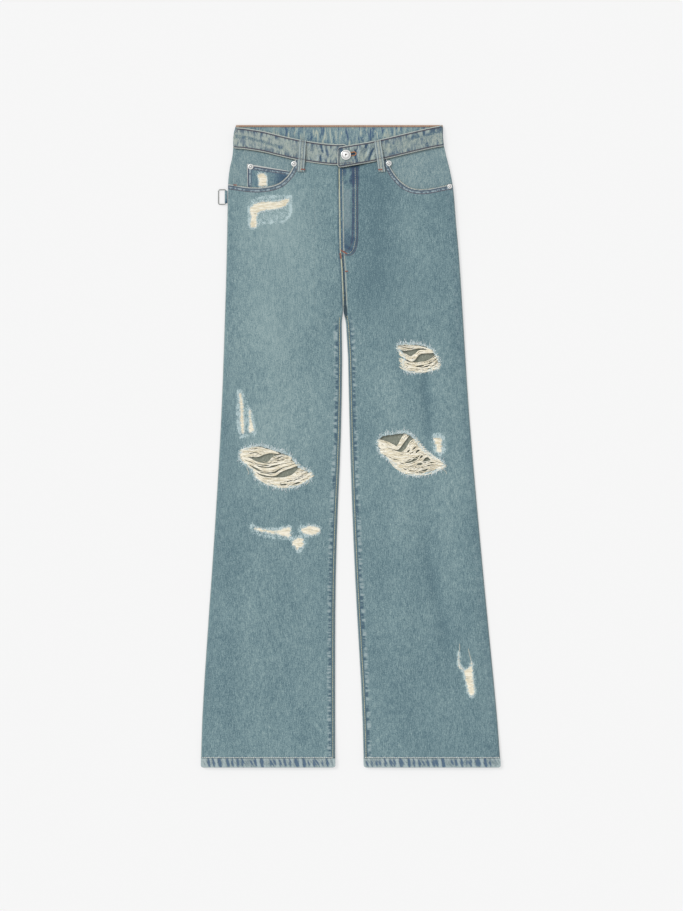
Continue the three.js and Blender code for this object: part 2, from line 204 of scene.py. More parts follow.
def signed(x, y, outlines):
    """Distance from the nearest of several outlines over a grid: below zero inside, at most FAR."""
    points = flat_points(x, y)
    best = np.full(len(points), FAR)
    for outline in outlines:
        low, high = outline.min(0) - FAR, outline.max(0) + FAR
        near = np.all((points > low) & (points < high), axis=1)
        distance, _ = nearest_on(points[near], closed(outline))
        distance = np.where(inside(points[near], outline), -distance, distance)
        best[near] = np.minimum(best[near], distance)
    return best.reshape(x.shape)


# ---------------------------------------------------------------- the frame's solids


def box(node):
    """The lowest and the highest corner of a CAD node, in millimetres."""
    return [np.array(corner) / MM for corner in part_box(node)]


class Solid:
    """One or more CAD nodes, read for their edges and their upper face."""

    NEAR_TOP = 8.0  # height from which the nearest face is taken where nothing is below a point

    def __init__(self, *names):
        points, triangles, start = [], [], 0
        for name in names:
            mesh = frame["nodes"][name].data
            mesh.calc_loop_triangles()
            points.append(np.array([v.co for v in mesh.vertices], float) / MM)
            triangles.append(np.array([t.vertices for t in mesh.loop_triangles], int) + start)
            start += len(points[-1])
        self.points, self.triangles = np.vstack(points), np.vstack(triangles)
        self.tree = BVHTree.FromPolygons(self.points.tolist(), self.triangles.tolist())

    def span(self, along, stations):
        """Lowest and highest coordinate across, at stations along X or Y."""
        across = 1 - along
        pairs = self.triangles[:, [[0, 1], [1, 2], [2, 0]]].reshape(-1, 2)
        a, b = self.points[pairs[:, 0]], self.points[pairs[:, 1]]
        rise = b[:, along] - a[:, along]
        low, high = np.zeros(len(stations)), np.zeros(len(stations))
        for i, station in enumerate(stations):
            hit = ((a[:, along] - station) * (b[:, along] - station) <= 0) & (np.abs(rise) > 1e-6)
            share = (station - a[hit, along]) / rise[hit]
            value = a[hit, across] + share * (b[hit, across] - a[hit, across])
            low[i], high[i] = value.min(), value.max()
        return low, high

    def top(self, x, y):
        """Height of the upper face over each point, or of the nearest of it."""
        heights = np.zeros(x.size)
        for i, (px, py) in enumerate(zip(x.ravel(), y.ravel())):
            spot = self.tree.ray_cast((px, py, SKY), (0, 0, -1))[0]
            if spot is None:
                spot = self.tree.find_nearest((px, py, self.NEAR_TOP))[0]
            heights[i] = spot.z
        return heights.reshape(x.shape)

    def smooth_top(self, x, y, rows, columns):
        """The upper face's height, averaged over that many neighbours each way."""
        return softened(softened(self.top(x, y), rows, 0), columns, 1)


EDGE_STEP = 2.0


def edge_curve(solid, along, low, high, side, reach=10):
    """A smoothed edge of a solid, as a function of the coordinate along it."""
    stations = np.arange(low, high + EDGE_STEP / 2, EDGE_STEP)
    stations[-1] = high
    values = solid.span(along, np.clip(stations, low + 0.01, high - 0.01))[side]
    values = softened(values, reach)
    return lambda t: np.interp(t, stations, values)


# ---------------------------------------------------------------- meshes


def mesh_object(name, points, faces):
    """A smooth-shaded object from points in millimetres and lists of corners."""
    mesh = bpy.data.meshes.new(name)
    mesh.from_pydata((np.asarray(points) * MM).tolist(), [], faces)
    mesh.update()
    mesh.polygons.foreach_set("use_smooth", [True] * len(mesh.polygons))
    piece = bpy.data.objects.new(name, mesh)
    bpy.context.scene.collection.objects.link(piece)
    return piece


def give(piece, name, values):
    """A number on each point that the materials read."""
    attribute = piece.data.attributes.new(name, "FLOAT", "POINT")
    attribute.data.foreach_set("value", np.asarray(values, np.float32).ravel())


def attach(piece, materials, body=GARMENT, nodes=()):
    """Gives a piece its materials by name, its body and the nodes it stands for."""
    for name in materials:
        piece.data.materials.append(MATERIALS[name])
    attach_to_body(piece, body)
    if nodes:
        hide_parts(*nodes)
    return piece


def grid_faces(rows, columns):
    corner = (np.arange(rows - 1)[:, None] * columns + np.arange(columns - 1)).ravel()
    return np.stack([corner, corner + 1, corner + 1 + columns, corner + columns], axis=1)


def cut_grid(points, faces, outlines):
    """Opens holes in a grid, and draws its points to the outlines of the holes."""
    flat = points[:, :2]
    for outline in outlines:
        near = np.all((flat > outline.min(0) - 1) & (flat < outline.max(0) + 1), axis=1)
        within = np.zeros(len(points), bool)
        within[near] = inside(flat[near], outline)
        faces = faces[~within[faces].all(axis=1)]
        rim = np.unique(faces[within[faces]])
        points[rim, :2] = nearest_on(flat[rim], closed(outline))[1]
    return points, faces


def drop_unused(points, faces, layers):
    used, faces_flat = np.unique(faces, return_inverse=True)
    return points[used], faces_flat.reshape(faces.shape), {k: v[used] for k, v in layers.items()}


CLOTH_MADE = []  # points and faces of each cloth piece, which the threads lie on


def cloth_piece(name, grid, thickness, materials, node, layers, holes=()):
    """A thin sheet of cloth on a grid of points, hanging below it by its thickness."""
    rows, columns = grid[0].shape
    points = np.stack([part.ravel() for part in grid], axis=1)
    faces = grid_faces(rows, columns)
    layers = {key: np.broadcast_to(values, (rows, columns)).ravel() for key, values in layers.items()}
    if holes:
        points, faces = cut_grid(points, faces, holes)
        points, faces, layers = drop_unused(points, faces, layers)
    piece = mesh_object(name, points, faces.tolist())
    for key, values in layers.items():
        give(piece, key, values)
    attach(piece, materials, nodes=[node])
    CLOTH_MADE.append((points, faces))
    shell = piece.modifiers.new("cloth", "SOLIDIFY")
    shell.thickness = thickness * MM
    shell.offset = -1
    shell.material_offset = len(materials) - 1


def tube_faces(rings, around, start=0):
    """Quads between a row of rings of points, and a flat face at each end."""
    base = start + np.arange(rings - 1)[:, None] * around
    here = base + np.arange(around)
    beside = base + (np.arange(around) + 1) % around
    quads = np.stack([here, beside, beside + around, here + around], axis=2).reshape(-1, 4)
    first = list(range(start, start + around))
    last = [corner + (rings - 1) * around for corner in first]
    return [*quads.tolist(), first[::-1], last]


def tubes(name, lines, radii, sides=5, taper=0.3):
    """Round threads along several 3-D lines, joined in one mesh. Their ends are thinner by taper."""
    points, faces, start = [], [], 0
    turn = np.linspace(0, 2 * math.pi, sides, endpoint=False)[None, :, None]
    for line, radius in zip(lines, np.broadcast_to(radii, len(lines))):
        ahead = np.gradient(line, axis=0)
        ahead = ahead / np.maximum(np.linalg.norm(ahead, axis=1, keepdims=True), 1e-9)
        side = np.cross(ahead, [0, 0, 1])
        side[np.linalg.norm(side, axis=1) < 1e-3] = [1, 0, 0]
        side = side / np.linalg.norm(side, axis=1, keepdims=True)
        up = np.cross(side, ahead)
        width = np.full(len(line), radius)
        width[[0, -1]] *= taper
        ring = side[:, None] * np.cos(turn) + up[:, None] * np.sin(turn)
        points.append((line[:, None] + ring * width[:, None, None]).reshape(-1, 3))
        faces += tube_faces(len(line), sides, start)
        start += len(line) * sides
    return mesh_object(name, np.vstack(points), faces)


# ---------------------------------------------------------------- materials


def linear(red, green, blue):
    """A display colour, 0 to 255, as the linear colour that shaders use."""
    shares = [value / 255 for value in (red, green, blue)]
    return (*(s / 12.92 if s < 0.04045 else ((s + 0.055) / 1.055) ** 2.4 for s in shares), 1.0)


class Nodes:
    """Short calls for building a material's node tree. Colours are display colours."""

    def __init__(self, name):
        self.material = bpy.data.materials.new(name)
        self.material.use_nodes = True
        self.tree = self.material.node_tree
        self.tree.nodes.clear()
        self.shader = self.add("ShaderNodeBsdfPrincipled")
        self.put(self.add("ShaderNodeOutputMaterial").inputs["Surface"], self.shader.outputs["BSDF"])

    def add(self, kind, **settings):
        node = self.tree.nodes.new(kind)
        for key, value in settings.items():
            setattr(node, key, value)
        return node

    def put(self, socket, value):
        """Links a socket to an output, or sets it to a number or a colour."""
        if isinstance(value, bpy.types.NodeSocket):
            self.tree.links.new(value, socket)
        else:
            socket.default_value = linear(*value) if isinstance(value, tuple) else value

    def math(self, operation, first, second):
        node = self.add("ShaderNodeMath", operation=operation)
        self.put(node.inputs[0], first)
        self.put(node.inputs[1], second)
        return node.outputs[0]

    def times(self, first, *others):
        for other in others:
            first = self.math("MULTIPLY", first, other)
        return first

    def plus(self, first, second):
        return self.math("ADD", first, second)

    def mapped(self, value, low, high, to_low=0.0, to_high=1.0):
        """A smooth step from one number to another."""
        node = self.add("ShaderNodeMapRange", interpolation_type="SMOOTHSTEP")
        for i, number in enumerate((value, low, high, to_low, to_high)):
            self.put(node.inputs[i], number)
        return node.outputs[0]

    def window(self, value, start, full, last, end):
        """1 where the value is between full and last, fading to 0 at start and end."""
        return self.times(self.mapped(value, start, full), self.mapped(value, last, end, 1.0, 0.0))

    def attribute(self, name):
        return self.add("ShaderNodeAttribute", attribute_name=name).outputs["Fac"]

    def place(self, scale):
        """Object coordinates in millimetres, stretched by scale."""
        node = self.add("ShaderNodeVectorMath", operation="MULTIPLY")
        self.put(node.inputs[0], self.add("ShaderNodeTexCoord").outputs["Object"])
        node.inputs[1].default_value = [s / MM for s in scale]
        return node.outputs[0]

    def noise(self, scale, detail=2.0, roughness=0.5, distortion=0.0):
        node = self.add("ShaderNodeTexNoise")
        self.put(node.inputs["Vector"], self.place(scale))
        self.put(node.inputs["Scale"], 1.0)
        self.put(node.inputs["Detail"], detail)
        self.put(node.inputs["Roughness"], roughness)
        self.put(node.inputs["Distortion"], distortion)
        return node.outputs["Fac"]

    def centred(self, scale, **settings):
        """Noise about zero."""
        return self.math("SUBTRACT", self.noise(scale, **settings), 0.5)

    def mix(self, share, first, second):
        node = self.add("ShaderNodeMix", data_type="RGBA", blend_type="MIX")
        self.put(node.inputs["Factor"], share)
        self.put(node.inputs[6], first)
        self.put(node.inputs[7], second)
        return node.outputs[2]

    def paint(self, colour, over, *shares):
        """A colour with another over it, by the product of the shares."""
        return self.mix(self.times(*shares), colour, over)

    def bump(self, height, strength, distance, after=None):
        node = self.add("ShaderNodeBump")
        self.put(node.inputs["Strength"], strength)
        self.put(node.inputs["Distance"], distance * MM)
        self.put(node.inputs["Height"], height)
        if after is not None:
            self.put(node.inputs["Normal"], after)
        return node.outputs["Normal"]

    def finish(self, colour, roughness, normal=None, metallic=0.0, sheen=0.0):
        self.put(self.shader.inputs["Base Color"], colour)
        self.put(self.shader.inputs["Roughness"], roughness)
        self.put(self.shader.inputs["Metallic"], metallic)
        self.put(self.shader.inputs["Sheen Weight"], sheen)
        if normal is not None:
            self.put(self.shader.inputs["Normal"], normal)
        return self.material


ROPE_PALE = (168, 184, 186)
CREAM = (254, 250, 236)
CREAM_SHADE = (232, 221, 196)


def twill(nodes):
    """Fine diagonal ribs of the weave, as a height."""
    wave = nodes.add("ShaderNodeTexWave", wave_type="BANDS", bands_direction="DIAGONAL")
    nodes.put(wave.inputs["Vector"], nodes.place((1.0, -0.62, 0.0)))
    nodes.put(wave.inputs["Scale"], 0.34)
    nodes.put(wave.inputs["Distortion"], 0.6)
    nodes.put(wave.inputs["Detail"], 1.0)
    return wave.outputs["Fac"]


def denim_colour(nodes, dark, middle, light):
    """Washed twill: uneven warp yarns, speckled grain and slow fading, with the painted shade and light that
    the tone number carries.
    """
    slubs = nodes.centred((1.0, 0.09, 0.03), detail=3, roughness=0.65)
    grain = nodes.centred((1.0, 0.5, 0.3), detail=3, roughness=0.75)
    clouds = nodes.centred((0.016, 0.009, 0.01), detail=2)
    mottle = nodes.centred((0.13, 0.07, 0.05), detail=2, roughness=0.6)
    tone = nodes.plus(nodes.attribute("tone"), 0.5)
    for source, weight in ((slubs, 1.6), (grain, 2.8), (clouds, 0.5), (mottle, 0.5)):
        tone = nodes.plus(tone, nodes.times(source, weight))
    low = nodes.mix(nodes.mapped(tone, 0.05, 0.5), dark, middle)
    colour = nodes.mix(nodes.mapped(tone, 0.5, 1.0), low, light)
    # The indigo number lays unfaded indigo; round the buttonhole and in the folds by the fly it lays painted
    # shade.
    indigo = nodes.mix(nodes.mapped(tone, 0.25, 0.8), (48, 74, 98), (58, 88, 118))
    return nodes.mix(nodes.attribute("indigo"), colour, indigo)


def denim(name, shades, *coats):
    """The twill of the garment, in its dark, middle and light shades, under coats that its points place."""
    nodes = Nodes(name)
    colour = denim_colour(nodes, *shades)
    for coat in coats:
        colour = coat(nodes, colour)
    relief = nodes.bump(twill(nodes), 0.35, 0.12)
    relief = nodes.bump(nodes.noise((0.7, 0.07, 0.02)), 0.5, 0.35, relief)
    relief = nodes.bump(nodes.noise((0.9, 0.7, 0.4), detail=3, roughness=0.7), 0.4, 0.35, relief)
    return nodes.finish(colour, 0.93, relief, sheen=0.12)


def ropes(nodes, colour):
    """Dark hollows and pale ridges where a sewn edge has roped; along the hems' tops and the belt loops'
    outer edges the dark is painted shadow.
    """
    rope = nodes.attribute("rope")
    colour = nodes.mix(nodes.mapped(rope, 0.1, 0.9, 0, 0.8), colour, (62, 92, 122))
    return nodes.mix(nodes.mapped(rope, -0.15, -0.9, 0, 0.8), colour, ROPE_PALE)


def seam_pulls(nodes, colour):
    """Short dark and pale bars beside a stitched seam, where its layers shrank unevenly."""
    distance, pull = nodes.attribute("seam"), nodes.attribute("pull")
    bars = nodes.noise((0.06, 0.19, 0.05), roughness=0.55)
    hollow = nodes.times(nodes.window(distance, 0.8, 1.6, 2.6, 3.6), pull)
    colour = nodes.paint(colour, (82, 100, 116), hollow, 0.6)
    dark = nodes.times(nodes.window(distance, 5.4, 6.6, 9.4, 12.5), nodes.mapped(bars, 0.45, 0.62))
    line = nodes.times(nodes.window(distance, 4.6, 5.3, 6.2, 7.4), 0.75)
    dark = nodes.times(nodes.math("MAXIMUM", dark, line), pull)
    pale = nodes.times(nodes.window(distance, 6.6, 8.6, 12.0, 15.5), nodes.mapped(bars, 0.52, 0.38), pull)
    colour = nodes.paint(colour, ROPE_PALE, pale, 0.6)
    colour = nodes.paint(colour, (58, 84, 104), dark, 0.8)
    return nodes.paint(colour, (178, 184, 178), nodes.window(distance, -1.0, 0.0, 0.5, 1.6), 0.45)


def mouth_rope(nodes, colour):
    """A pocket's mouth: a pale rolled edge, then pale beads on a dark strip."""
    distance = nodes.attribute("mouth")
    beads = nodes.mapped(nodes.noise((0.3, 0.3, 0.05), detail=1), 0.43, 0.54)
    bead = nodes.times(nodes.window(distance, 3.2, 4.0, 6.0, 6.8), beads)
    colour = nodes.paint(colour, (80, 94, 112), nodes.window(distance, 2.4, 3.2, 7.0, 8.4), 0.72)
    colour = nodes.paint(colour, (66, 72, 92), nodes.window(distance, 1.4, 2.0, 2.7, 3.4), 0.8)
    colour = nodes.paint(colour, (158, 176, 182), bead, 0.8)
    return nodes.paint(colour, (204, 206, 202), nodes.window(distance, -2.0, -1.0, 0.9, 1.6), 0.85)


def band_lines(nodes, colour):
    """A waistband's pale rubbed edges, its dark stitch lines, and the ticks drawn in beside them."""
    ticks = nodes.noise((0.26, 0.045, 0.03), roughness=0.6, distortion=0.5)
    for edge in ("low", "high"):
        distance = nodes.attribute(edge)
        for limits, strength, over in (
            ((2.4, 3.4, 5.0, 11.5), nodes.mapped(ticks, 0.5, 0.6, 0.0, 0.7), (58, 84, 108)),
            ((2.4, 3.4, 6.0, 11.5), nodes.mapped(ticks, 0.46, 0.38, 0.0, 0.6), (172, 184, 176)),
            ((1.2, 1.9, 3.2, 4.0), 0.85, (54, 60, 78)),
            ((-1.0, 0.0, 0.7, 1.4), 0.75, (196, 200, 192)),
        ):
            colour = nodes.paint(colour, over, nodes.window(distance, *limits), strength)
    return colour


def rolled_top(nodes, colour):
    """The tan edge along the top of the back waistband's inside."""
    distance = nodes.attribute("high")
    colour = nodes.paint(colour, (100, 98, 96), nodes.window(distance, 2.4, 3.2, 3.8, 5.0), 0.6)
    return nodes.paint(colour, (184, 152, 130), nodes.window(distance, -3.0, -2.0, 2.7, 3.5), 0.85)


def stains(scale, strength):
    """A coat of indigo left in the hollows of a puckered band, with pale rubbed ridges."""

    def coat(nodes, colour):
        patches = nodes.noise(scale, detail=3, roughness=0.6, distortion=0.6)
        colour = nodes.mix(nodes.mapped(patches, 0.46, 0.32, 0.0, strength), colour, (178, 186, 172))
        return nodes.mix(nodes.mapped(patches, 0.52, 0.66, 0.0, strength), colour, (62, 90, 120))

    return coat


# Lines along the fly: the distance they follow, where across it they start, are full and end,
# their lowest and highest Y, colour and strength.
FLY_LINES = [
    # painted shadow just outside the fly's overlapping edge
    ("fly_past", (-4.2, -2.6, -0.8, 0.0), (225, 470), (70, 98, 116), 0.6),
    ("fly_past", (-0.4, 0.2, 1.4, 2.2), (222, 470), (196, 200, 172), 0.75),
    ("fly_past", (1.8, 2.8, 4.8, 5.8), (222, 470), (62, 88, 112), 0.8),
    ("fly_past", (5.2, 5.9, 7.4, 8.4), (222, 437), (170, 182, 178), 0.6),
    ("fly_past", (8.0, 9.5, 17, 20), (355, 425), (132, 146, 152), 0.45),
    ("fly_past", (1.6, 2.4, 4.6, 5.6), (222, 318), (50, 68, 80), 0.75),
    ("fly_past", (0.0, 1.2, 5.4, 6.8), (206, 256), (46, 64, 74), 0.55),
    ("fly_past", (-1.0, 0.4, 6.0, 7.4), (206, 234), (44, 62, 72), 0.85),
    ("fly_inner", (-2.0, -1.0, 1.3, 2.4), (330, 470), (54, 78, 108), 0.85),
    ("fly_curve", (-2.0, -1.0, 1.2, 2.2), (312, 470), (62, 84, 108), 0.75),
]


def fly_lines(nodes, colour):
    """A painted shadow beside the fly's overlapping edge, and dark hollows and pale ridges along its edge,
    seam and stitches.
    """
    place = nodes.add("ShaderNodeSeparateXYZ")
    nodes.put(place.inputs[0], nodes.place((1, 1, 1)))
    broken = nodes.mapped(nodes.noise((0.16, 0.26, 0.05)), 0.34, 0.5, 0.4, 1.0)
    for attribute, limits, (low, high), over, strength in FLY_LINES:
        across = nodes.window(nodes.attribute(attribute), *limits)
        along = nodes.window(place.outputs["Y"], low, low + 8, high - 4, high)
        colour = nodes.paint(colour, over, across, along, broken, strength)
    return colour


def worn_through(nodes, colour):
    """Pale fraying round the damage, and bare cream weft where the warp is worn away."""
    fibre = nodes.centred((0.7, 0.5, 0.3), detail=3, roughness=0.7)
    clumps = nodes.centred((0.16, 0.12, 0.05))
    amount = nodes.attribute("fray")
    uneven = nodes.plus(nodes.times(clumps, 3.2), 1.0)
    loose = nodes.times(fibre, 4.4, nodes.mapped(amount, 0.0, 0.2))
    fray = nodes.plus(nodes.times(amount, uneven), loose)
    colour = nodes.mix(nodes.mapped(fray, 0.5, 0.85, 0.0, 0.85), colour, (188, 208, 210))
    shadow = nodes.times(nodes.mapped(fray, -0.1, -0.45), nodes.mapped(amount, 0.2, 0.5, 0.0, 0.6))
    colour = nodes.mix(shadow, colour, (84, 108, 118))
    weft = nodes.plus(nodes.attribute("weft"), nodes.times(fibre, 8.0))
    bare = nodes.mapped(nodes.plus(weft, nodes.times(clumps, 5.0)), 0.5, -0.7)
    rows = nodes.noise((0.05, 0.9, 0.1), roughness=0.6)
    cream = nodes.mix(nodes.mapped(rows, 0.35, 0.65), CREAM_SHADE, CREAM)
    specks = nodes.noise((0.2, 0.45, 0.1))
    cream = nodes.mix(nodes.mapped(specks, 0.58, 0.66, 0.0, 0.6), cream, (140, 146, 136))
    return nodes.mix(bare, colour, cream)


def yarn(name, colour, shade, scale=(0.6, 0.6, 0.6)):
    """Sewing thread or bare yarn, whose tone wanders at that scale."""
    nodes = Nodes(name)
    mixed = nodes.mix(nodes.mapped(nodes.noise(scale), 0.35, 0.65), shade, colour)
    relief = nodes.bump(nodes.noise((3, 3, 3), detail=1), 0.3, 0.1)
    return nodes.finish(mixed, 0.85, relief, sheen=0.2)


def metal(name, colour, roughness, metallic=1.0):
    """Rubbed metal, darker in the grooves that its points place."""
    nodes = Nodes(name)
    wear = nodes.noise((1.4, 1.4, 1.4), detail=3)
    tint = nodes.mix(nodes.mapped(wear, 0.5, 0.9), colour, (190, 188, 182))
    tint = nodes.mix(nodes.attribute("groove"), tint, (96, 96, 94))
    rough = nodes.mapped(wear, 0.3, 0.7, roughness, roughness + 0.15)
    return nodes.finish(tint, rough, nodes.bump(wear, 0.1, 0.05), metallic=metallic)


WASHED = (84, 112, 122), (114, 141, 147), (150, 172, 173)
FACING = (92, 118, 128), (122, 146, 151), (156, 174, 172)
COIN = (70, 100, 120), (102, 130, 140), (142, 162, 162)
HEM = (104, 124, 130), (142, 158, 160), (176, 188, 186)
LOOP = (112, 128, 130), (152, 162, 156), (184, 188, 178)
BAND = (80, 106, 122), (138, 153, 150), (168, 178, 172)
INNER_BAND = (76, 106, 128), (124, 148, 152), (158, 176, 174)
# The inside is darker than the reverse of denim really is: painted shade for where it shows at the bottom of
# the rips.
INSIDE = (118, 124, 112), (127, 132, 121), (158, 162, 148)

MATERIALS = {
    "front": denim("denim_front", WASHED, ropes, fly_lines, seam_pulls, mouth_rope, worn_through),
    "denim": denim("denim_outer", WASHED, ropes),
    "facing": denim("denim_facing", FACING, ropes),
    "coin": denim("denim_coin_pocket", COIN, ropes, seam_pulls, mouth_rope, worn_through),
    "hem": denim("denim_hem", HEM, ropes),
    "loop": denim("denim_loop", LOOP, ropes),
    "band": denim("denim_waistband", BAND, ropes, stains((0.15, 0.07, 0.03), 0.5), band_lines),
    "inner_band": denim(
        "denim_inner_band", INNER_BAND, ropes, stains((0.17, 0.036, 0.02), 0.95), rolled_top
    ),
    "inside": denim("denim_inside", INSIDE),
    # the bare weft's darker stripes are partly uneven yarn and partly painted shade between its clumped
    # threads
    "weft": yarn("weft_yarn", CREAM, (226, 217, 192), (0.07, 0.42, 0.8)),
    "fringe": yarn("warp_fringe", (240, 246, 246), (190, 212, 216)),
    "cream_thread": yarn("cream_thread", (214, 210, 190), (184, 178, 160)),
    "yellow_thread": yarn("yellow_thread", (212, 206, 166), (176, 170, 134)),
    "brown_thread": yarn("brown_thread", (120, 96, 98), (88, 76, 88)),
    "pale_thread": yarn("pale_thread", (232, 234, 228), (196, 202, 200)),
    "rust_thread": yarn("rust_thread", (170, 112, 96), (134, 88, 82)),
    "orange_thread": yarn("orange_thread", (200, 140, 84), (160, 104, 66)),
    "steel": metal("nickel", (252, 252, 250), 0.28, 0.45),
    "dark_steel": metal("nickel_recess", (92, 90, 86), 0.45),
    "wire": metal("wire", (150, 152, 150), 0.32),
}


# ---------------------------------------------------------------- damage


# Outlines of the open rips, each with the seed of its unevenness.
RIP_POINTS = {
    "knee_right": (3, [
        (-182, -15), (-176, -7), (-163, -3), (-150, 0), (-136, -4), (-121, -9), (-104, -15),
        (-96, -23), (-87, -34), (-75, -41), (-67, -45), (-68, -52), (-80, -60), (-98, -66),
        (-113, -67), (-131, -63), (-149, -55), (-157, -46), (-161, -37), (-172, -28), (-180, -22),
    ]),
    "knee_left": (5, [
        (46, 8), (50, 15), (60, 18), (76, 20), (90, 21), (101, 15), (109, 5), (117, -7), (130, -16),
        (146, -25), (153, -31), (142, -38), (126, -43), (108, -46), (88, -42), (78, -33), (67, -22),
        (54, -14), (47, -4),
    ]),
    "thigh_left": (7, [
        (77, 165), (90, 167), (104, 167), (120, 165), (132, 159), (139, 150), (144, 140), (143, 131),
        (128, 127), (112, 124), (97, 124), (90, 128), (88, 136), (90, 146), (84, 156),
    ]),
}

# The worn patch on the coin pocket.
COIN_POINTS = [(-153, 448), (-145, 449), (-139, 446), (-138, 430), (-139.5, 429), (-151, 429), (-151, 436)]

# Worn patches where only the cream weft is left.
WORN_POINTS = {
    "right": [
        [
            (-165, 392), (-158, 399), (-146, 402), (-128, 402.5), (-112, 405), (-104, 408.5),
            (-101, 406), (-106, 398), (-114, 393), (-130, 390), (-146, 387.5), (-153, 384),
            (-155.5, 374), (-155, 362), (-159, 360), (-165, 361), (-166, 370), (-163.5, 378),
            (-166, 385),
        ],
        [
            (-184, 84), (-181, 86), (-178, 72), (-177, 50), (-176, 24), (-180, 23), (-182, 44),
            (-182, 66),
        ],
        [(-168, 58), (-165, 59), (-164, 44), (-160, 30), (-161, 24), (-168, 25), (-167, 40)],
        [
            (-157, -134), (-146, -136.5), (-134, -139), (-124, -140), (-124, -144.5), (-136, -142.5),
            (-148, -140), (-157, -137.5),
        ],
        [
            (-125, -140), (-114, -137), (-104, -133.5), (-99, -136), (-100, -143), (-101, -149.5),
            (-110, -148), (-120, -145),
        ],
        [
            (-82, -138), (-76, -134), (-66, -131.5), (-56, -133), (-51, -138), (-54, -143),
            (-66, -146), (-77, -144),
        ],
        [
            (-96, -156), (-91, -153), (-84, -150.5), (-79, -154), (-78, -162), (-81, -166),
            (-86, -167), (-88, -172), (-91, -166), (-95, -162),
        ],
    ],
    "left": [
        [(137, 13), (149, 13), (149, 3), (150, -9), (142, -9), (140, 2)],
        [
            (186.5, -369), (191, -368), (196.5, -364), (198, -357), (200, -358), (200.5, -370),
            (202, -388), (204, -404), (202, -410), (197, -410.5), (193.5, -405), (190.5, -390),
            (188, -377),
        ],
        [
            (177.5, -348), (178.6, -347), (178.6, -355), (182, -363), (187, -369), (185.5, -371),
            (179.5, -364), (176.6, -355),
        ],
    ],
}

# Wider zones round them, where the warp is frayed.
FRAYED_POINTS = {
    "right": [
        [
            (-168, 404), (-146, 412), (-118, 414), (-97, 412), (-96, 398), (-98, 380), (-112, 368),
            (-134, 366), (-150, 364), (-166, 358), (-170, 368), (-170, 388),
        ],
        [(-188, 90), (-178, 90), (-166, 62), (-156, 30), (-158, 18), (-170, 16), (-186, 18)],
        [
            (-167, -127), (-161, -128), (-150, -133), (-130, -134), (-112, -132), (-98, -130),
            (-96, -152), (-112, -154), (-132, -152), (-150, -148), (-164, -141),
        ],
        [(-86, -132), (-68, -129), (-50, -132), (-48, -140), (-56, -148), (-72, -151), (-86, -147)],
        [(-98, -149), (-84, -147), (-74, -153), (-75, -165), (-87, -177), (-97, -164)],
    ],
    "left": [
        [(133, 18), (153, 18), (155, -12), (138, -14)],
        [
            (176, -336), (181, -340), (181, -356), (188, -366), (197, -352), (200, -352), (203, -370),
            (206, -400), (205, -412), (197, -415), (190, -394), (184, -374), (175, -360),
        ],
    ],
}


def ragged(points, seed, depth=0.9):
    """A given outline, made uneven like torn cloth, and calmer at its first point."""
    step = 1.3
    loop = smooth_loop(points, step)
    along = np.arange(len(loop)) * step
    out = offset_line(closed(loop), 1.0)[:-1] - loop
    uneven = ripple(along, 6, seed) + 0.7 * ripple(along, 2.8, seed + 1)
    calm = np.sin(np.linspace(0, math.pi, len(loop))) ** 0.25
    return loop + out * (uneven * depth * calm)[:, None]


RIPS = {name: ragged(points, seed) for name, (seed, points) in RIP_POINTS.items()}
RIPS_ON = {"right": [RIPS["knee_right"]], "left": [RIPS["knee_left"], RIPS["thigh_left"]]}
WORN_COIN = smooth_loop(COIN_POINTS, 2)
WORN = {side: [ragged(p, 60 + 2 * i, 0.8) for i, p in enumerate(WORN_POINTS[side])] for side in SIDES}
FRAYED = {side: [smooth_loop(points, 3) for points in FRAYED_POINTS[side]] for side in SIDES}


# ---------------------------------------------------------------- creases and fading


def crease(x, y, start, end, width, depth):
    """A soft ridge (or trough, if depth is below zero) along a line, fading at its ends."""
    start, end = np.array(start, float), np.array(end, float)
    length = np.linalg.norm(end - start)
    ahead = (end - start) / length
    dx, dy = x - start[0], y - start[1]
    along = dx * ahead[0] + dy * ahead[1]
    across = dx * -ahead[1] + dy * ahead[0]
    ends = fade(along, -width, width * 1.5) * fade(length - along, -width, width * 1.5)
    return depth * np.exp(-((across / width) ** 2)) * ends


# Slow folds of the laid legs: start, end, width, height.
FOLDS = {
    "right": [
        ((-120, 330), (-128, 60), 26, 0.9), ((-60, 200), (-52, -60), 16, -0.5),
        ((-175, 180), (-196, -160), 18, -0.5), ((-130, -90), (-140, -330), 24, 0.8),
        ((-190, -250), (-205, -500), 20, 0.6), ((-70, -180), (-62, -430), 18, -0.5),
        ((-100, -330), (-120, -505), 16, -0.5), ((-30, 240), (-75, 190), 12, 0.6),
        ((-26, 225), (-62, 150), 9, -0.5), ((-40, 420), (-70, 330), 14, -0.35),
    ],
    "left": [
        ((117, 175), (130, 30), 9, -1.0), ((148, 180), (160, -120), 20, 1.0), ((104, 120), (108, 40), 9, 0.5),
        ((70, 330), (74, 90), 24, 0.7), ((122, -150), (158, -330), 11, -1.0),
        ((84, -80), (92, -330), 24, 0.9), ((190, -150), (214, -420), 16, 0.6),
        ((60, -250), (56, -480), 16, -0.5), ((140, -380), (150, -508), 18, 0.6),
        ((0, 240), (46, 188), 12, 0.6), ((0, 224), (34, 150), 9, -0.5), ((20, 420), (52, 330), 14, -0.35),
    ],
}


def folds(x, y, side):
    return sum(crease(x, y, *fold) for fold in FOLDS[side])


def shade(x, y, line, width, top, bottom):
    """A slow band down a leg, centred on a line X = a + b Y, between two heights."""
    across = (x - line[0] - line[1] * y) / width
    return np.exp(-(across**2)) * fade(y, bottom - 60, bottom + 20) * fall(y, top - 20, top + 60)
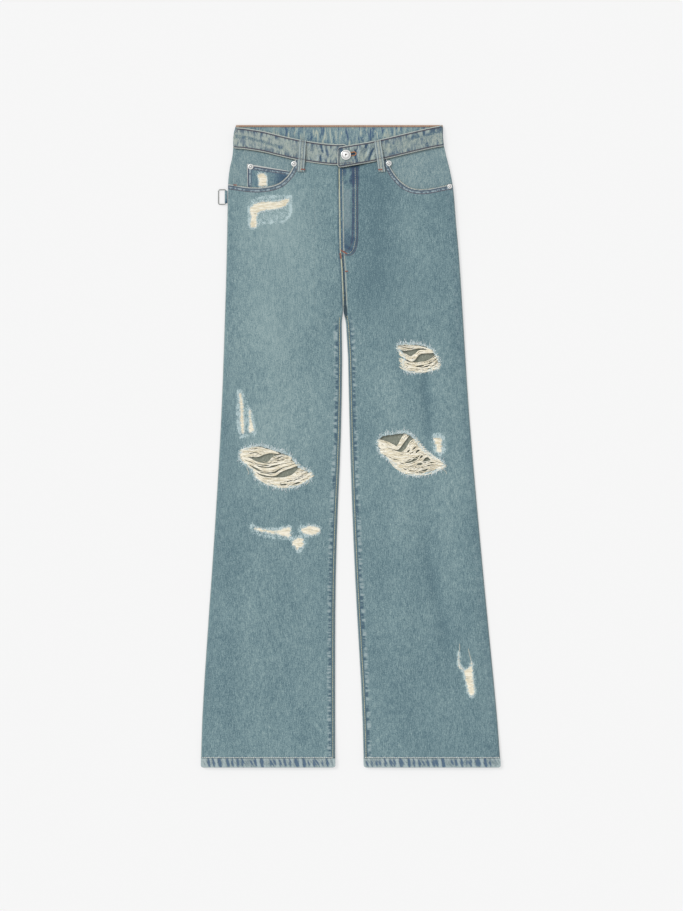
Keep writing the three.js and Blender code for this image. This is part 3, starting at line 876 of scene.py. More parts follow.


# Slow bands down each leg, partly wash fading and partly painted shade and light along its folds (the narrow
# dark ones are painted shade in the troughs of FOLDS): line (a, b), width, top and bottom Y, strength.
SHADES = {
    "right": [
        ((-126, 0.0), 60, 390, -20, 0.2), ((-130, 0.0), 50, -40, -260, 0.04),
        ((-150, 0.05), 70, 460, 330, 0.10), ((-140, 0.0), 110, -120, -480, -0.06),
        ((-200, 0.0), 18, 40, -450, -0.08), ((-20, 0.0), 30, 440, 230, -0.04),
    ],
    "left": [
        ((148, 0.0), 30, 110, -260, 0.14), ((70, -0.08), 26, 120, 0, 0.16),
        ((92, 0.0), 30, -20, -170, 0.10), ((140, 0.0), 110, -160, -480, -0.07),
        # painted shade along the two crease troughs of the left leg
        ((132, -0.09), 9, 150, 30, -0.3), ((86, -0.22), 12, -190, -300, -0.22),
        ((96, -0.2), 26, -60, -330, -0.08), ((40, 0.0), 44, 470, 250, -0.26),
        ((160, 0.0), 40, 440, 300, -0.02),
    ],
}


def leg_tone(x, y, side, edge):
    """A leg's tone: slow bands, partly wash fading and partly painted shade and light along its folds, and
    painted shade towards its edges.
    """
    total = sum(strength * shade(x, y, *band) for *band, strength in SHADES[side])
    base = 0.0 if side == "right" else -0.05
    # painted shade towards the edges
    return base + total - 0.08 * fall(edge, 4, 22)


# ---------------------------------------------------------------- edges, pocket mouths and fly


LEG_BOTTOM = box("front_right")[LOW][1]
WAIST_TOP = box("waistband_back")[HIGH][1]
SEAM_GAP = 0.3
BAND_ENDS = {"right": (-193, 14), "left": (-14, 153)}


def whole_side(side):
    return Solid(f"front_{side}", f"pocket_facing_{side}", f"back_{side}", f"yoke_{side}")


OUTER = {
    "right": edge_curve(whole_side("right"), ALONG_Y, LEG_BOTTOM, 490, LOW),
    "left": edge_curve(whole_side("left"), ALONG_Y, LEG_BOTTOM, 493, HIGH),
}
INNER = {
    "right": edge_curve(Solid("front_right"), ALONG_Y, LEG_BOTTOM, 456, HIGH, reach=4),
    "left": edge_curve(Solid("front_left"), ALONG_Y, LEG_BOTTOM, 450, LOW, reach=4),
}
BAND_SOLIDS = {side: Solid(f"waistband_front_{side}") for side in SIDES}
BAND_BOTTOM = {
    side: edge_curve(BAND_SOLIDS[side], ALONG_X, *BAND_ENDS[side], LOW, reach=6) for side in SIDES
}
BAND_TOP = {
    side: edge_curve(BAND_SOLIDS[side], ALONG_X, *BAND_ENDS[side], HIGH, reach=4) for side in SIDES
}
BAND_SIDE = {
    side: edge_curve(Solid("waistband_back"), ALONG_Y, 495.01, WAIST_TOP, end, reach=1)
    for side, end in (("right", LOW), ("left", HIGH))
}

# The pockets' mouths, read from the solids: from the waistband out to the side seam.
SCOOP_POINTS = {
    "right": [(-91, 476), (-93.5, 464), (-98, 454), (-105, 444), (-118, 433), (-138, 427), (-165, 426),
              (-206, 432)],
    "left": [(58, 478), (61.5, 466), (67, 456), (75, 444), (87, 432), (102, 424.5), (122, 423),
             (145, 427), (176, 433)],
}
SCOOPS = {side: smooth_line(points, 1.5) for side, points in SCOOP_POINTS.items()}
MOUTHS = {side: SCOOPS[side][8:] for side in SIDES}  # the part of each below the waistband
PAST_SIDE = {"right": -260, "left": 230}
PAST_WAIST = 560


def leg_edges(side):
    """A leg's edges with the lower and with the higher X."""
    return (OUTER[side], INNER[side]) if side == "right" else (INNER[side], OUTER[side])


def leg_lattice(side, top_edge, inner_top, step):
    """A grid of points over a leg, from its hem seam to its top edge."""
    low, high = leg_edges(side)
    columns, rows = int(225 / step), int((inner_top - LEG_BOTTOM) / step)
    u, v = np.meshgrid(np.linspace(0, 1, columns), np.linspace(0, 1, rows))
    top = top_edge(blend(low(inner_top + 20), high(inner_top + 20), u))
    y = blend(LEG_BOTTOM, top, v)
    return blend(low(y), high(y), u), y


def scoop_outline(side):
    """The pocket's opening, out past the garment."""
    line, far = SCOOPS[side], PAST_SIDE[side]
    return np.vstack([line, [[far, line[-1][1]], [far, PAST_WAIST], [line[0][0], PAST_WAIST]]])


def mouth_distance(x, y, side):
    """Distance from a pocket's mouth, near it."""
    return np.where(y > 405, np.minimum(line_distance(x, y, SCOOPS[side]), FAR), FAR)


FLY_TOP = 459
FLY_CURVE = smooth_line(
    [(10.5, FLY_TOP), (11, 420), (11, 350), (10, 335), (6.5, 322), (0, 315), (-7, 314.5), (-15.5, 316)], 1.5
)
FLY_INNER = smooth_line(
    [(3.5, FLY_TOP), (4, 420), (3.5, 354), (2, 338), (-1, 329), (-6, 323), (-15, 320)], 1.5
)


def fly_edge(y):
    """The overlapping edge of the fly, and the seam below it."""
    return np.interp(y, [CROTCH_Y, 291, 316, 324, FLY_TOP], [-12.4, -15.5, -17.2, -18.4, -20.2])


def fly_relief(x, y):
    """The fly's double cloth stands proud of the front, and is pulled in along its stitches."""
    outline = np.vstack([FLY_CURVE, [[-30, 316], [-30, FLY_TOP]]])
    height = 0.7 * fall(signed(x, y, [outline]), -3.0, 3.0)
    height = height - 0.35 * fall(line_distance(x, y, FLY_CURVE), 0, 2.6)
    return height - 0.3 * fall(line_distance(x, y, FLY_INNER), 0, 2.4)


def fly_indigo_and_shade(x, y, past):
    """The fly's unfaded foot, and a strip and the folds under the waistband that are partly unfaded indigo
    and partly painted shade, with a ridge across them left light.
    """
    outline = np.vstack([FLY_CURVE, [[-16, FLY_TOP]]])
    within = fall(signed(x, y, [outline]), -2.5, 0.5)
    foot = within * np.maximum(0.95 * fall(y, 340, 356), 0.55 * fall(y, 352, 374)) * fade(past, 3, 6)
    strip = 0.45 * between(past, 22, 24, 30, 32) * fade(y, 340, 350)
    top = 1.2 * between(past, 16, 19, 32, 36) * fade(y, 422, 440)
    corner = 1.1 * between(past, 3.5, 5, 11, 15) * fade(y, 443, 448)
    crossing = 1.1 * between(past, 3.5, 5, 11, 17) * fall(np.abs(y - 435), 2.0, 5.0)
    ridge = between(past, 5, 8, 22, 26) * fall(np.abs(y - 431 - 1.15 * (past - 4)), 1.2, 4)
    upper = np.maximum.reduce([top, corner, crossing, strip]) * (1 - 0.9 * ridge)
    patches = 0.7 + 0.3 * ripple(y + 0.5 * x, 15, 81)
    return np.clip(np.maximum(foot, upper) * patches, 0, 1)


def fly_fields(x, y):
    """Distances along the fly that its material turns into lines, and its indigo, which is partly painted
    shade.
    """
    past = x - fly_edge(y)
    near = (np.abs(x) < 60) & (y > 200)
    return {
        # unfaded indigo, and painted shade in the folds beside the fly
        "indigo": fly_indigo_and_shade(x, y, past),
        "fly_past": np.where(near, past, FAR),
        "fly_curve": np.where(near, line_distance(x, y, FLY_CURVE), FAR),
        "fly_inner": np.where(near, line_distance(x, y, FLY_INNER), FAR),
    }


# ---------------------------------------------------------------- leg panels


FRONT_STEP, BACK_STEP = 2.6, 6.0  # spacing of the points
FRONT_TOP = {"right": 463, "left": 458}  # where the fronts meet the waistband, at the inner edge
BACK_TOP = 424


def fray_amount(x, y, side):
    """How strongly the warp is frayed: most at the edges of the damage."""
    torn, worn = signed(x, y, RIPS_ON[side]), signed(x, y, WORN[side])
    amount = np.maximum(fall(torn, 0.5, 7.5), 0.95 * fall(worn, 0, 4.5))
    zone = signed(x, y, FRAYED[side])
    patchy = 0.78 + 0.4 * ripple(x - 0.7 * y, 16, 31)
    rim = 1.12 * patchy * fall(np.abs(zone + 2.5), 0.5, 4.5)
    return np.maximum.reduce([amount, rim, 0.5 * fall(zone, -4, 2)])


def roll_edges(z, edge):
    """Turns the last few millimetres of a panel down to its seam."""
    return z - 0.9 * fall(edge, 0.0, 4.5) ** 2


def front_height(x, y, side, edge, mouth):
    """A front's height: its solid's face, slow folds, puckered seams, the pocket's rim and the fly."""
    z = Solid(f"front_{side}").smooth_top(x, y, 10, 4)
    quiet = fade(edge, 2, 26)
    z = z + folds(x, y, side) * quiet * fall(y, 400, 440)
    z = z + 0.16 * ripple(x + 0.25 * y, 34, 11) * ripple(y, 70, 12) * quiet
    z = z + 0.3 * ripple(y + 0.3 * x, 13, 21) * fall(edge, 8, 17) * fade(edge, 2.5, 6)
    z = z + 0.5 * fall(mouth, 3, 8) + 0.2 * ripple(x + y, 6, 24) * fall(np.abs(mouth - 4.5), 1, 3)
    if side == "left":
        z = z + fly_relief(x, y)
    return roll_edges(z, edge)


def front_panel(side):
    """A front with its pocket's opening and its rips cut out of it."""
    x, y = leg_lattice(side, lambda t: BAND_BOTTOM[side](t) - SEAM_GAP, FRONT_TOP[side], FRONT_STEP)
    from_outer, from_inner = np.abs(x - OUTER[side](y)), np.abs(x - INNER[side](y))
    legs = fall(y, CROTCH_Y - 4, CROTCH_Y + 10)
    inseam = legs * (from_inner < from_outer) * fall(y, 190, 215)
    edge = np.minimum(from_outer, from_inner + 60 * (1 - legs))
    mouth = mouth_distance(x, y, side)
    layers = {
        "tone": leg_tone(x, y, side, edge),
        "rope": 0.8 * ripple(x, 8, 27) * between(y - LEG_BOTTOM, 0, 1, 3, 7),
        "seam": edge,
        "pull": blend(0.08 if side == "right" else 0.2, 1.0, inseam),
        "mouth": mouth,
        "fray": fray_amount(x, y, side),
        "weft": signed(x, y, WORN[side]),
        **fly_fields(x, y),
    }
    cloth_piece(
        f"front_panel_{side}", (x, y, front_height(x, y, side, edge, mouth)), CLOTH, ["front", "inside"],
        f"front_{side}", layers, [scoop_outline(side), *RIPS_ON[side]],
    )


def back_panel(side):
    """A back, whose inside shows through the rips."""
    solid = Solid(f"back_{side}")
    ends = (-190, -20) if side == "right" else (-10, 150)
    top_edge = edge_curve(solid, ALONG_X, *ends, HIGH, reach=3)
    x, y = leg_lattice(side, top_edge, BACK_TOP, BACK_STEP)
    low, high = leg_edges(side)
    edge = np.minimum(np.abs(x - low(y)), np.abs(x - high(y)))
    layers = {"tone": -0.1 * fall(edge, 6, 26), "rope": 0, "indigo": 0}
    grid = x, y, solid.smooth_top(x, y, 4, 2)
    cloth_piece(f"back_panel_{side}", grid, CLOTH, ["inside", "denim"], f"back_{side}", layers)


def plain_piece(node, step, materials, name=None, thickness=CLOTH, marks=None, reach=2, rounded=0.0):
    """A simple cloth piece read from its solid, between its side edges, with its lower corners rounded."""
    solid = Solid(node)
    start, end = (corner[1] for corner in box(node))
    rows = max(4, int((end - start) / step) + 1)
    stations = np.linspace(start + 0.02, end - 0.02, rows)
    first, last = (softened(edge, reach) for edge in solid.span(ALONG_Y, stations))
    if rounded:
        drop = np.clip(1 - (stations - start) / rounded, 0, 1)
        inset = rounded * (1 - np.sqrt(1 - drop**2))
        first, last = first + inset, last - inset
    columns = max(4, int((last - first).max() / step) + 1)
    u, v = np.meshgrid(np.linspace(0, 1, columns), np.arange(rows))
    x, y = blend(first[v], last[v], u), stations[v]
    layers = {"tone": 0, "rope": 0, "indigo": 0, **(marks(x, y) if marks else {})}
    z = solid.top(x, y) + layers.pop("height", 0)
    cloth_piece(f"{name or node}_cloth", (x, y, z), thickness, materials, node, layers)


# ---------------------------------------------------------------- hems


def hem_marks(x, y, seed):
    """Roping: the hem twists, so rounded patches of it stay dark between pale ones. A painted shadow runs
    along its top, under the seam.
    """
    up = y - y.min()
    full = y.max() - y.min()
    from_middle = (up - 0.52 * full) / (0.5 * full)
    slant = x + 0.16 * up
    patches = 1.5 * ripple(slant, 11.5, seed) + 0.5 * ripple(slant + 0.5 * up, 5.5, seed + 1)
    patches = patches + 0.5 - 1.1 * from_middle**2
    ends = np.minimum(x - x.min(), x.max() - x)
    patches = patches - 1.2 * fall(ends, 4, 12)
    # pale along the bottom fold, and a painted shadow along the top under the seam
    edge = -0.6 * fall(up, 0.3, 1.8) + 0.5 * fade(up, full - 1.2, full - 0.4)
    return {"rope": np.clip(patches + edge, -1, 1), "height": -0.3 * patches * fade(up, 0.6, 3)}


def hem(node, step, seed):
    plain_piece(
        node, step, ["hem"], thickness=FOLDED, marks=lambda x, y: hem_marks(x, y, seed), rounded=4.0
    )


# ---------------------------------------------------------------- waistband


BUTTON_AT = sum(box("waist_button"))[:2] / 2


def buttonhole_outline():
    """The slot that the button's shank stands in."""
    half, length, tilt = 1.7, 14.0, math.radians(9)
    turn = np.linspace(math.pi / 2, 3 * math.pi / 2, 9)
    start = np.stack([half * np.cos(turn), half * np.sin(turn)], axis=1)
    end = -start + [length, 0]
    spin = np.array([[math.cos(tilt), math.sin(tilt)], [-math.sin(tilt), math.cos(tilt)]])
    return np.vstack([start, end]) @ spin + BUTTON_AT


BUTTONHOLE = buttonhole_outline()


def band_marks(x, y, bottom, top, seed, strength):
    """Puckers across a waistband, drawn in along its two stitched edges."""
    up = (y - bottom) / (top - bottom)
    lean = x + 4 * np.sin(3 * up + 0.05 * x)
    pucker = ripple(lean + 5 * up, 10.5, seed) * 0.6 + 0.6 * ripple(lean - 9 * up, 12.5, seed + 1)
    waves = 0.25 + 0.75 * fade(0.5 - np.abs(up - 0.5), 0.02, 0.25)
    edge = np.minimum(up, 1 - up) * (top - bottom)
    near_edges = np.maximum(fade(np.abs(up - 0.5), 0.12, 0.34), fade(strength, 0.6, 0.9))
    pucker = pucker * blend(0.35, 1.0, near_edges)
    crossed = fade(np.abs(pucker), 0.2, 0.65) * np.sign(pucker) * strength * fade(edge, 2.5, 4.5)
    return {
        "rope": -0.9 * np.maximum(-crossed, 0),
        "low": up * (top - bottom),
        "high": (1 - up) * (top - bottom),
        "tone": -0.3 * crossed,
        "indigo": np.clip(1.25 * strength * fade(pucker, 0.12, 0.6) * fade(edge, 2.5, 4.5), 0, 0.95),
        "height": -0.6 * pucker * waves * strength,
    }


def band_strength(x, side):
    """How deep a front band's puckers are: deepest beside the button."""
    if side == "right":
        return 0.42 + 0.5 * fall(np.abs(x + 50), 12, 28)
    return (0.42 + 0.75 * fall(np.abs(x - 24), 16, 36)) * fade(x, -8, 8)


def band_hollow_shade(x, v, side):
    """Painted shade of the long hollow that runs along a front band to its side seam; the cloth is not dented
    for it.
    """
    if side == "right":
        middle, share = 0.5 - 0.0024 * (x + 150), fall(x, -120, -100)
    else:
        middle, share = 0.72 + 0.04 * ripple(x, 40, 98), fade(x, 84, 104)
    return 0.45 * share * fall(np.abs(v - middle), 0.03, 0.13)


def band_lattice(side):
    """A front band's grid. Its outer end is drawn to the back band's, so that the two meet."""
    low, high = box(f"waistband_front_{side}")
    stations = np.arange(low[0] + 0.05, high[0], 1.7)
    bottom, top = BAND_SOLIDS[side].span(ALONG_X, stations)
    if side == "right":
        top = top - 4 * fade(stations, -12, -4)
    x, v = np.meshgrid(stations, np.linspace(0, 1, 24))
    y = blend(bottom, top, v)
    end = low[0] if side == "right" else high[0]
    x = x + fade(np.abs(x - end), 9, 0) * (BAND_SIDE[side](y) - end)
    return x, y, v, bottom, top


def front_band(side):
    """A front half of the waistband. The left half has the buttonhole, in the tab that laps over."""
    node = f"waistband_front_{side}"
    x, y, v, bottom, top = band_lattice(side)
    layers = band_marks(x, y, bottom, top, 91 if side == "left" else 95, band_strength(x, side))
    z = BAND_SOLIDS[side].smooth_top(x, y, 2, 3) + layers.pop("height")
    if side == "left":
        layers["low"] = np.minimum(layers["low"], x - box(node)[LOW][0])
    # Painted shadow round the buttonhole, on the tab and on the band under it, laid in with the indigo
    # number.
    rim = 0.9 * fall(signed(x, y, [BUTTONHOLE]), 0.4, 2.6)
    layers["indigo"] = np.maximum(layers["indigo"], rim)
    layers["tone"] = layers["tone"] + (0.24 if side == "right" else 0.0) - band_hollow_shade(x, v, side)
    holes = [BUTTONHOLE] if side == "left" else []
    cloth_piece(
        f"waistband_{side}_cloth", (x, y, z), FOLDED, ["band", "inner_band"], node, layers, holes
    )


def back_band():
    """The back of the waistband, whose puckered inside shows above the fronts."""
    node = "waistband_back"
    (_, bottom, _), (_, top, _) = box(node)
    u, y = np.meshgrid(np.linspace(0, 1, 171), np.linspace(bottom, top, 20))
    right, left = BAND_SIDE["right"](y), BAND_SIDE["left"](y)
    x = blend(right, left, u)
    up = (y - bottom) / (top - bottom)
    lean = x + 6 * np.sin(2.4 * up + 0.07 * x)
    pucker = ripple(lean, 11, 101) + 0.6 * ripple(lean - 7 * up, 5.6, 102)
    z = Solid(node).top(blend(right + 0.1, left - 0.1, u), y)
    z = z + 0.35 * pucker * between(up, 0.0, 0.2, 0.85, 1.0) - 0.35
    layers = {"rope": 0, "tone": -0.2 * pucker, "indigo": 0, "low": y - bottom, "high": top - y}
    cloth_piece(
        "waistband_back_cloth", (x, y, z), FOLDED - 0.3, ["inner_band", "band"], node, layers
    )


# ---------------------------------------------------------------- small pieces


COIN_SIDE = -171
COIN_TOP = [(-170, 464), (-102, 454)]


def coin_marks(x, y):
    """The coin pocket: unfaded towards its covered end, roped under its top edge, worn through once."""
    down = np.interp(x, *zip(*COIN_TOP)) - y
    inward = x - COIN_SIDE
    bars = ripple(x + 0.4 * y, 7.5, 71)
    under = between(down, 1.5, 3, 4.5, 6.5)
    worn = signed(x, y, [WORN_COIN])
    return {
        "indigo": 0.8 * fade(x, -132, -112) * fade(down, 5, 9),
        "rope": np.clip(bars * under + ripple(y, 8, 72) * between(inward, 1.5, 3, 5, 7), -1, 1),
        "weft": worn,
        "fray": 0.9 * fall(worn, 0, 3.5),
        "seam": FAR,
        "mouth": np.minimum(np.abs(down), np.abs(inward)),
        "height": 0.25 * bars * under,
    }


def loop_marks(x, y):
    """A belt loop: pale raised middle, dark creases along its two stitch rows, and painted shadow along its
    two outer edges.
    """
    middle = softened(0.5 * (x.min(1) + x.max(1)), 2)[:, None]
    across = np.abs(x - middle) / (0.5 * (x.max(1) - x.min(1)))[:, None]
    rope = fall(np.abs(across - 0.45), 0.06, 0.16) - 0.95 * fall(np.abs(across - 0.7), 0.08, 0.18)
    return {
        # the dark outer strip on each side is painted shadow beside the loop
        "rope": rope + 1.1 * fade(across, 0.86, 0.96) - 0.3 * (across < 0.25),
        "tone": 0.1 * ripple(y, 14, 75),
        "height": 0.3 * fall(across, 0.2, 0.6),
    }


def ring_tab():
    """A strip of denim folded round the ring's bar and sewn into the side seam."""
    low, high = box("ring_tab")
    axis, radius = low[0] + 2.25, 1.75
    turn = np.linspace(math.pi / 2, 3 * math.pi / 2, 11)
    fold = [(axis + radius * 1.1 * math.cos(t), 2.2 + radius * math.sin(t)) for t in turn]
    path = smooth_line(
        [(high[0], 3.3), (axis + 2, 4.0), *fold, (axis + 2, 0.45), (high[0], 0.9)], 0.5
    )
    y, x = np.meshgrid(np.linspace(low[1] + 0.3, high[1] - 0.3, 16), path[:, 0])
    z = np.broadcast_to(path[:, 1:], x.shape)
    dark = fade(x, axis - 1, axis + 1.5) * 0.35 + 0.5 * fall(y, 403, 408)
    layers = {"tone": 0, "rope": 0, "indigo": np.clip(dark, 0, 1)}
    cloth_piece("ring_tab_cloth", (x, y, z), 0.6, ["denim"], "ring_tab", layers)


def build_cloth():
    """Every cloth piece, most of them a lower layer before what lies on it."""
    for side in SIDES:
        back_panel(side)
        front_panel(side)
        plain_piece(f"yoke_{side}", 5, ["inside", "denim"])
        plain_piece(f"pocket_facing_{side}", 2.6, ["facing"], f"facing_{side}", THIN)
        plain_piece(f"back_pocket_{side}", 5, ["denim"])
        front_band(side)
        plain_piece(f"belt_loop_front_{side}", 0.8, ["loop"], f"loop_front_{side}", marks=loop_marks)
    for place in ("right", "center", "left"):
        plain_piece(f"belt_loop_back_{place}", 3, ["loop"], f"loop_back_{place}")
    plain_piece("coin_pocket", 1.6, ["coin"], thickness=THIN, marks=coin_marks, reach=1)
    back_band()
    for side, seed in (("right", 41), ("left", 47)):
        hem(f"hem_front_{side}", 1.0, seed)
        hem(f"hem_back_{side}", 3.5, seed + 3)
    ring_tab()


# ---------------------------------------------------------------- sewing


def threads(name, lines, radii, material, sides=5, taper=0.3):
    attach(tubes(name, lines, radii, sides, taper), [material])


class Drape:
    """The face of all the cloth made so far that is seen from above (side 1) or below (side -1)."""

    def __init__(self, side=1):
        self.side = side
        self.hidden = 0.0 if side > 0 else CLOTH  # how far this face lies past the points
        self.nothing = 0.0 if side > 0 else 99.0
        points, faces, start = [], [], 0
        for made_points, made_faces in CLOTH_MADE:
            points.append(made_points)
            faces.append(made_faces + start)
            start += len(made_points)
        self.tree = BVHTree.FromPolygons(np.vstack(points).tolist(), np.vstack(faces).tolist())

    def heights(self, line):
        """Height of the cloth at each point of a line, or self.nothing past its edge."""
        found = []
        for x, y in line:
            spot = self.tree.ray_cast((x, y, self.side * SKY), (0, 0, -self.side))[0]
            found.append(self.nothing if spot is None else spot.z - self.hidden)
        return np.array(found)


STITCH_PITCH, STITCH_LENGTH = 3.4, 2.5
STITCH_ARCH = np.array([-0.32, 0.02, 0.1, 0.02, -0.32])  # a stitch dips into the cloth at its ends


def stitch_row(drape, line, lift):
    """Separate short stitches along a line, where there is cloth under them."""
    step = 0.5
    stitches = []
    path = spaced(np.asarray(line, float), step)
    tops = drape.heights(path[::2])
    top = np.interp(np.arange(len(path)), np.arange(0, len(path), 2), tops)
    reach = int(STITCH_LENGTH / step)
    for start in range(0, len(path) - reach, int(STITCH_PITCH / step)):
        index = np.round(np.linspace(start, start + reach, len(STITCH_ARCH))).astype(int)
        if np.abs(top[index] - drape.nothing).min() < 0.4:
            continue
        z = top[index] + drape.side * (lift + STITCH_ARCH)
        stitches.append(np.column_stack([path[index], z]))
    return stitches


def sew_rows(drape, name, rows, material, sides=5, lift=0.12):
    """One mesh of the stitches along several rows, each a line and the radius of its thread."""
    stitches, radii = [], []
    for line, radius in rows:
        made = stitch_row(drape, line, lift)
        stitches += made
        radii += [radius] * len(made)
    threads(name, stitches, radii, material, sides=sides)


def bartack(drape, start, end):
    """A dense zigzag that locks a seam's end."""
    start, end = np.array(start, float), np.array(end, float)
    length = np.linalg.norm(end - start)
    ahead = (end - start) / length
    side = np.array([-ahead[1], ahead[0]]) * 1.2
    count = max(6, int(length / 0.55))
    share = np.linspace(0, 1, count)[:, None]
    flips = np.where(np.arange(count) % 2 == 0, 1, -1)[:, None]
    dense = spaced(start + share * (end - start) + flips * side, 0.6)
    top = drape.heights(dense).max()
    return np.column_stack([dense, np.full(len(dense), top + 0.2)])


def inseam_row(side):
    """The row along a leg's inseam, a little inboard of it."""
    y = np.arange(LEG_BOTTOM + 1, CROTCH_Y - 6, 4.0)
    return np.stack([INNER[side](y) + (-4.2 if side == "right" else 4.2), y], axis=1)


def fly_row(inboard):
    """A row along the fly's edge."""
    y = np.arange(240, 458, 3.0)
    return np.stack([fly_edge(y) + inboard, y], axis=1)


def band_row(edge, start, end, above):
    """A row along a waistband's edge."""
    x = np.arange(start, end, 4.0)
    return np.stack([x, edge(x) + above], axis=1)


def below_mouth(side):
    """A pocket's second row, below the one at its mouth."""
    rows = [offset_line(MOUTHS[side], distance) for distance in (7.0, -7.0)]
    return min(rows, key=lambda row: row[:, 1].mean())


def hem_row(node):
    """The row that holds a hem, just above it."""
    low, high = box(node)
    return [(low[0] + 2, high[1] + 1.5), (high[0] - 2, high[1] + 1.5)]


def upper_rows():
    """Every row of stitches on the upper side, by thread: its line and the radius of its thread."""
    right, left = SIDES
    band_rows = [
        (band_row(BAND_BOTTOM[right], -190, 10, 2.6), 0.4), (band_row(BAND_BOTTOM[left], -18, 150, 2.6), 0.4),
        (band_row(BAND_TOP[right], -190, -20, -2.6), 0.34), (band_row(BAND_TOP[left], -18, 150, -2.6), 0.34),
    ]
    coin_rows = [
        ([(-170, 462.5), (-103, 452.2)], 0.32), ([(-170, 458.5), (-106, 448.5)], 0.32),
        ([(-169.5, 463), (-169.5, 431)], 0.3),
    ]
    return {
        "yellow_thread": [(inseam_row(right), 0.5), (inseam_row(left), 0.5), (fly_row(1.6), 0.42)],
        "cream_thread": [
            (fly_row(6.6), 0.34), (offset_line(FLY_CURVE, -3.4), 0.36),
            (MOUTHS[right], 0.4), (MOUTHS[left], 0.4),
        ],
        "brown_thread": [
            (FLY_CURVE, 0.34), (FLY_INNER, 0.3), (below_mouth(right), 0.42), (below_mouth(left), 0.42),
            *band_rows, *coin_rows,
        ],
        "pale_thread": [(hem_row(f"hem_front_{side}"), 0.72) for side in SIDES],
        "orange_thread": [([(-184, WAIST_TOP - 2.0), (147, WAIST_TOP - 2.0)], 0.5)],
    }


# Where the seams' ends are locked: start and end.
BARTACKS = [
    ((-16.5, 323), (-6, 317)), ((-17.5, 318), (-16.5, 309)), ((-9.5, 288), (-5, 288.5)),
    ((-193, 430.5), (-188, 430)), ((-82, 456), (-75, 455.5)), ((45, 455.5), (52, 455.5)),
    ((160, 430), (165, 431)),
]


def sew(drape):
    """The stitches, bartacks and buttonhole of the upper side."""
    for thread, rows in upper_rows().items():
        sew_rows(drape, f"stitches_{thread}", rows, thread)
    threads("bartacks", [bartack(drape, *ends) for ends in BARTACKS], 0.42, "rust_thread")
    path = spaced(offset_line(closed(BUTTONHOLE), -1.1), 0.5)
    top = drape.heights(path)
    coils = np.column_stack([path, top.max() * 0.5 + top * 0.5 + 0.1])
    threads("buttonhole_stitches", [coils], 0.75, "orange_thread", sides=6)


def back_pocket_rows(side):
    """Along a back pocket's bottom, mouth and sides."""
    solid = Solid(f"back_pocket_{side}")
    low, high = box(f"back_pocket_{side}")
    x, y = np.linspace(low[0] + 2, high[0] - 2, 20), np.linspace(low[1] + 2, high[1] - 1, 20)
    first, last = solid.span(ALONG_Y, y)
    return [
        np.column_stack([x, solid.span(ALONG_X, x)[LOW] + 2]), np.column_stack([x, 0 * x + high[1] - 10]),
        np.column_stack([first + 2, y]), np.column_stack([last - 2, y]),
    ]


def seat_rows(side):
    """The double row below a yoke's seam."""
    low, high = box(f"yoke_{side}")
    x = np.linspace(low[0] + 3, high[0] - 3, 30)
    seam = Solid(f"back_{side}").span(ALONG_X, x)[HIGH]
    return [np.column_stack([x, seam - 2]), np.column_stack([x, seam - 7])]


def sew_underside():
    """Plain rows on the side that lies down: seat seams, back pockets, waistband and hems."""
    lines = []
    for side in SIDES:
        lines += [*back_pocket_rows(side), *seat_rows(side), hem_row(f"hem_back_{side}")]
    low, high = box("waistband_back")
    lines.append([(low[0] + 4, low[1] + 2.6), (high[0] - 4, low[1] + 2.6)])
    lines.append([(low[0] + 8, high[1] - 2.6), (high[0] - 8, high[1] - 2.6)])
    rows = [(line, 0.36) for line in lines]
    sew_rows(Drape(-1), "stitches_underside", rows, "cream_thread", sides=4, lift=0.05)


# ---------------------------------------------------------------- torn threads


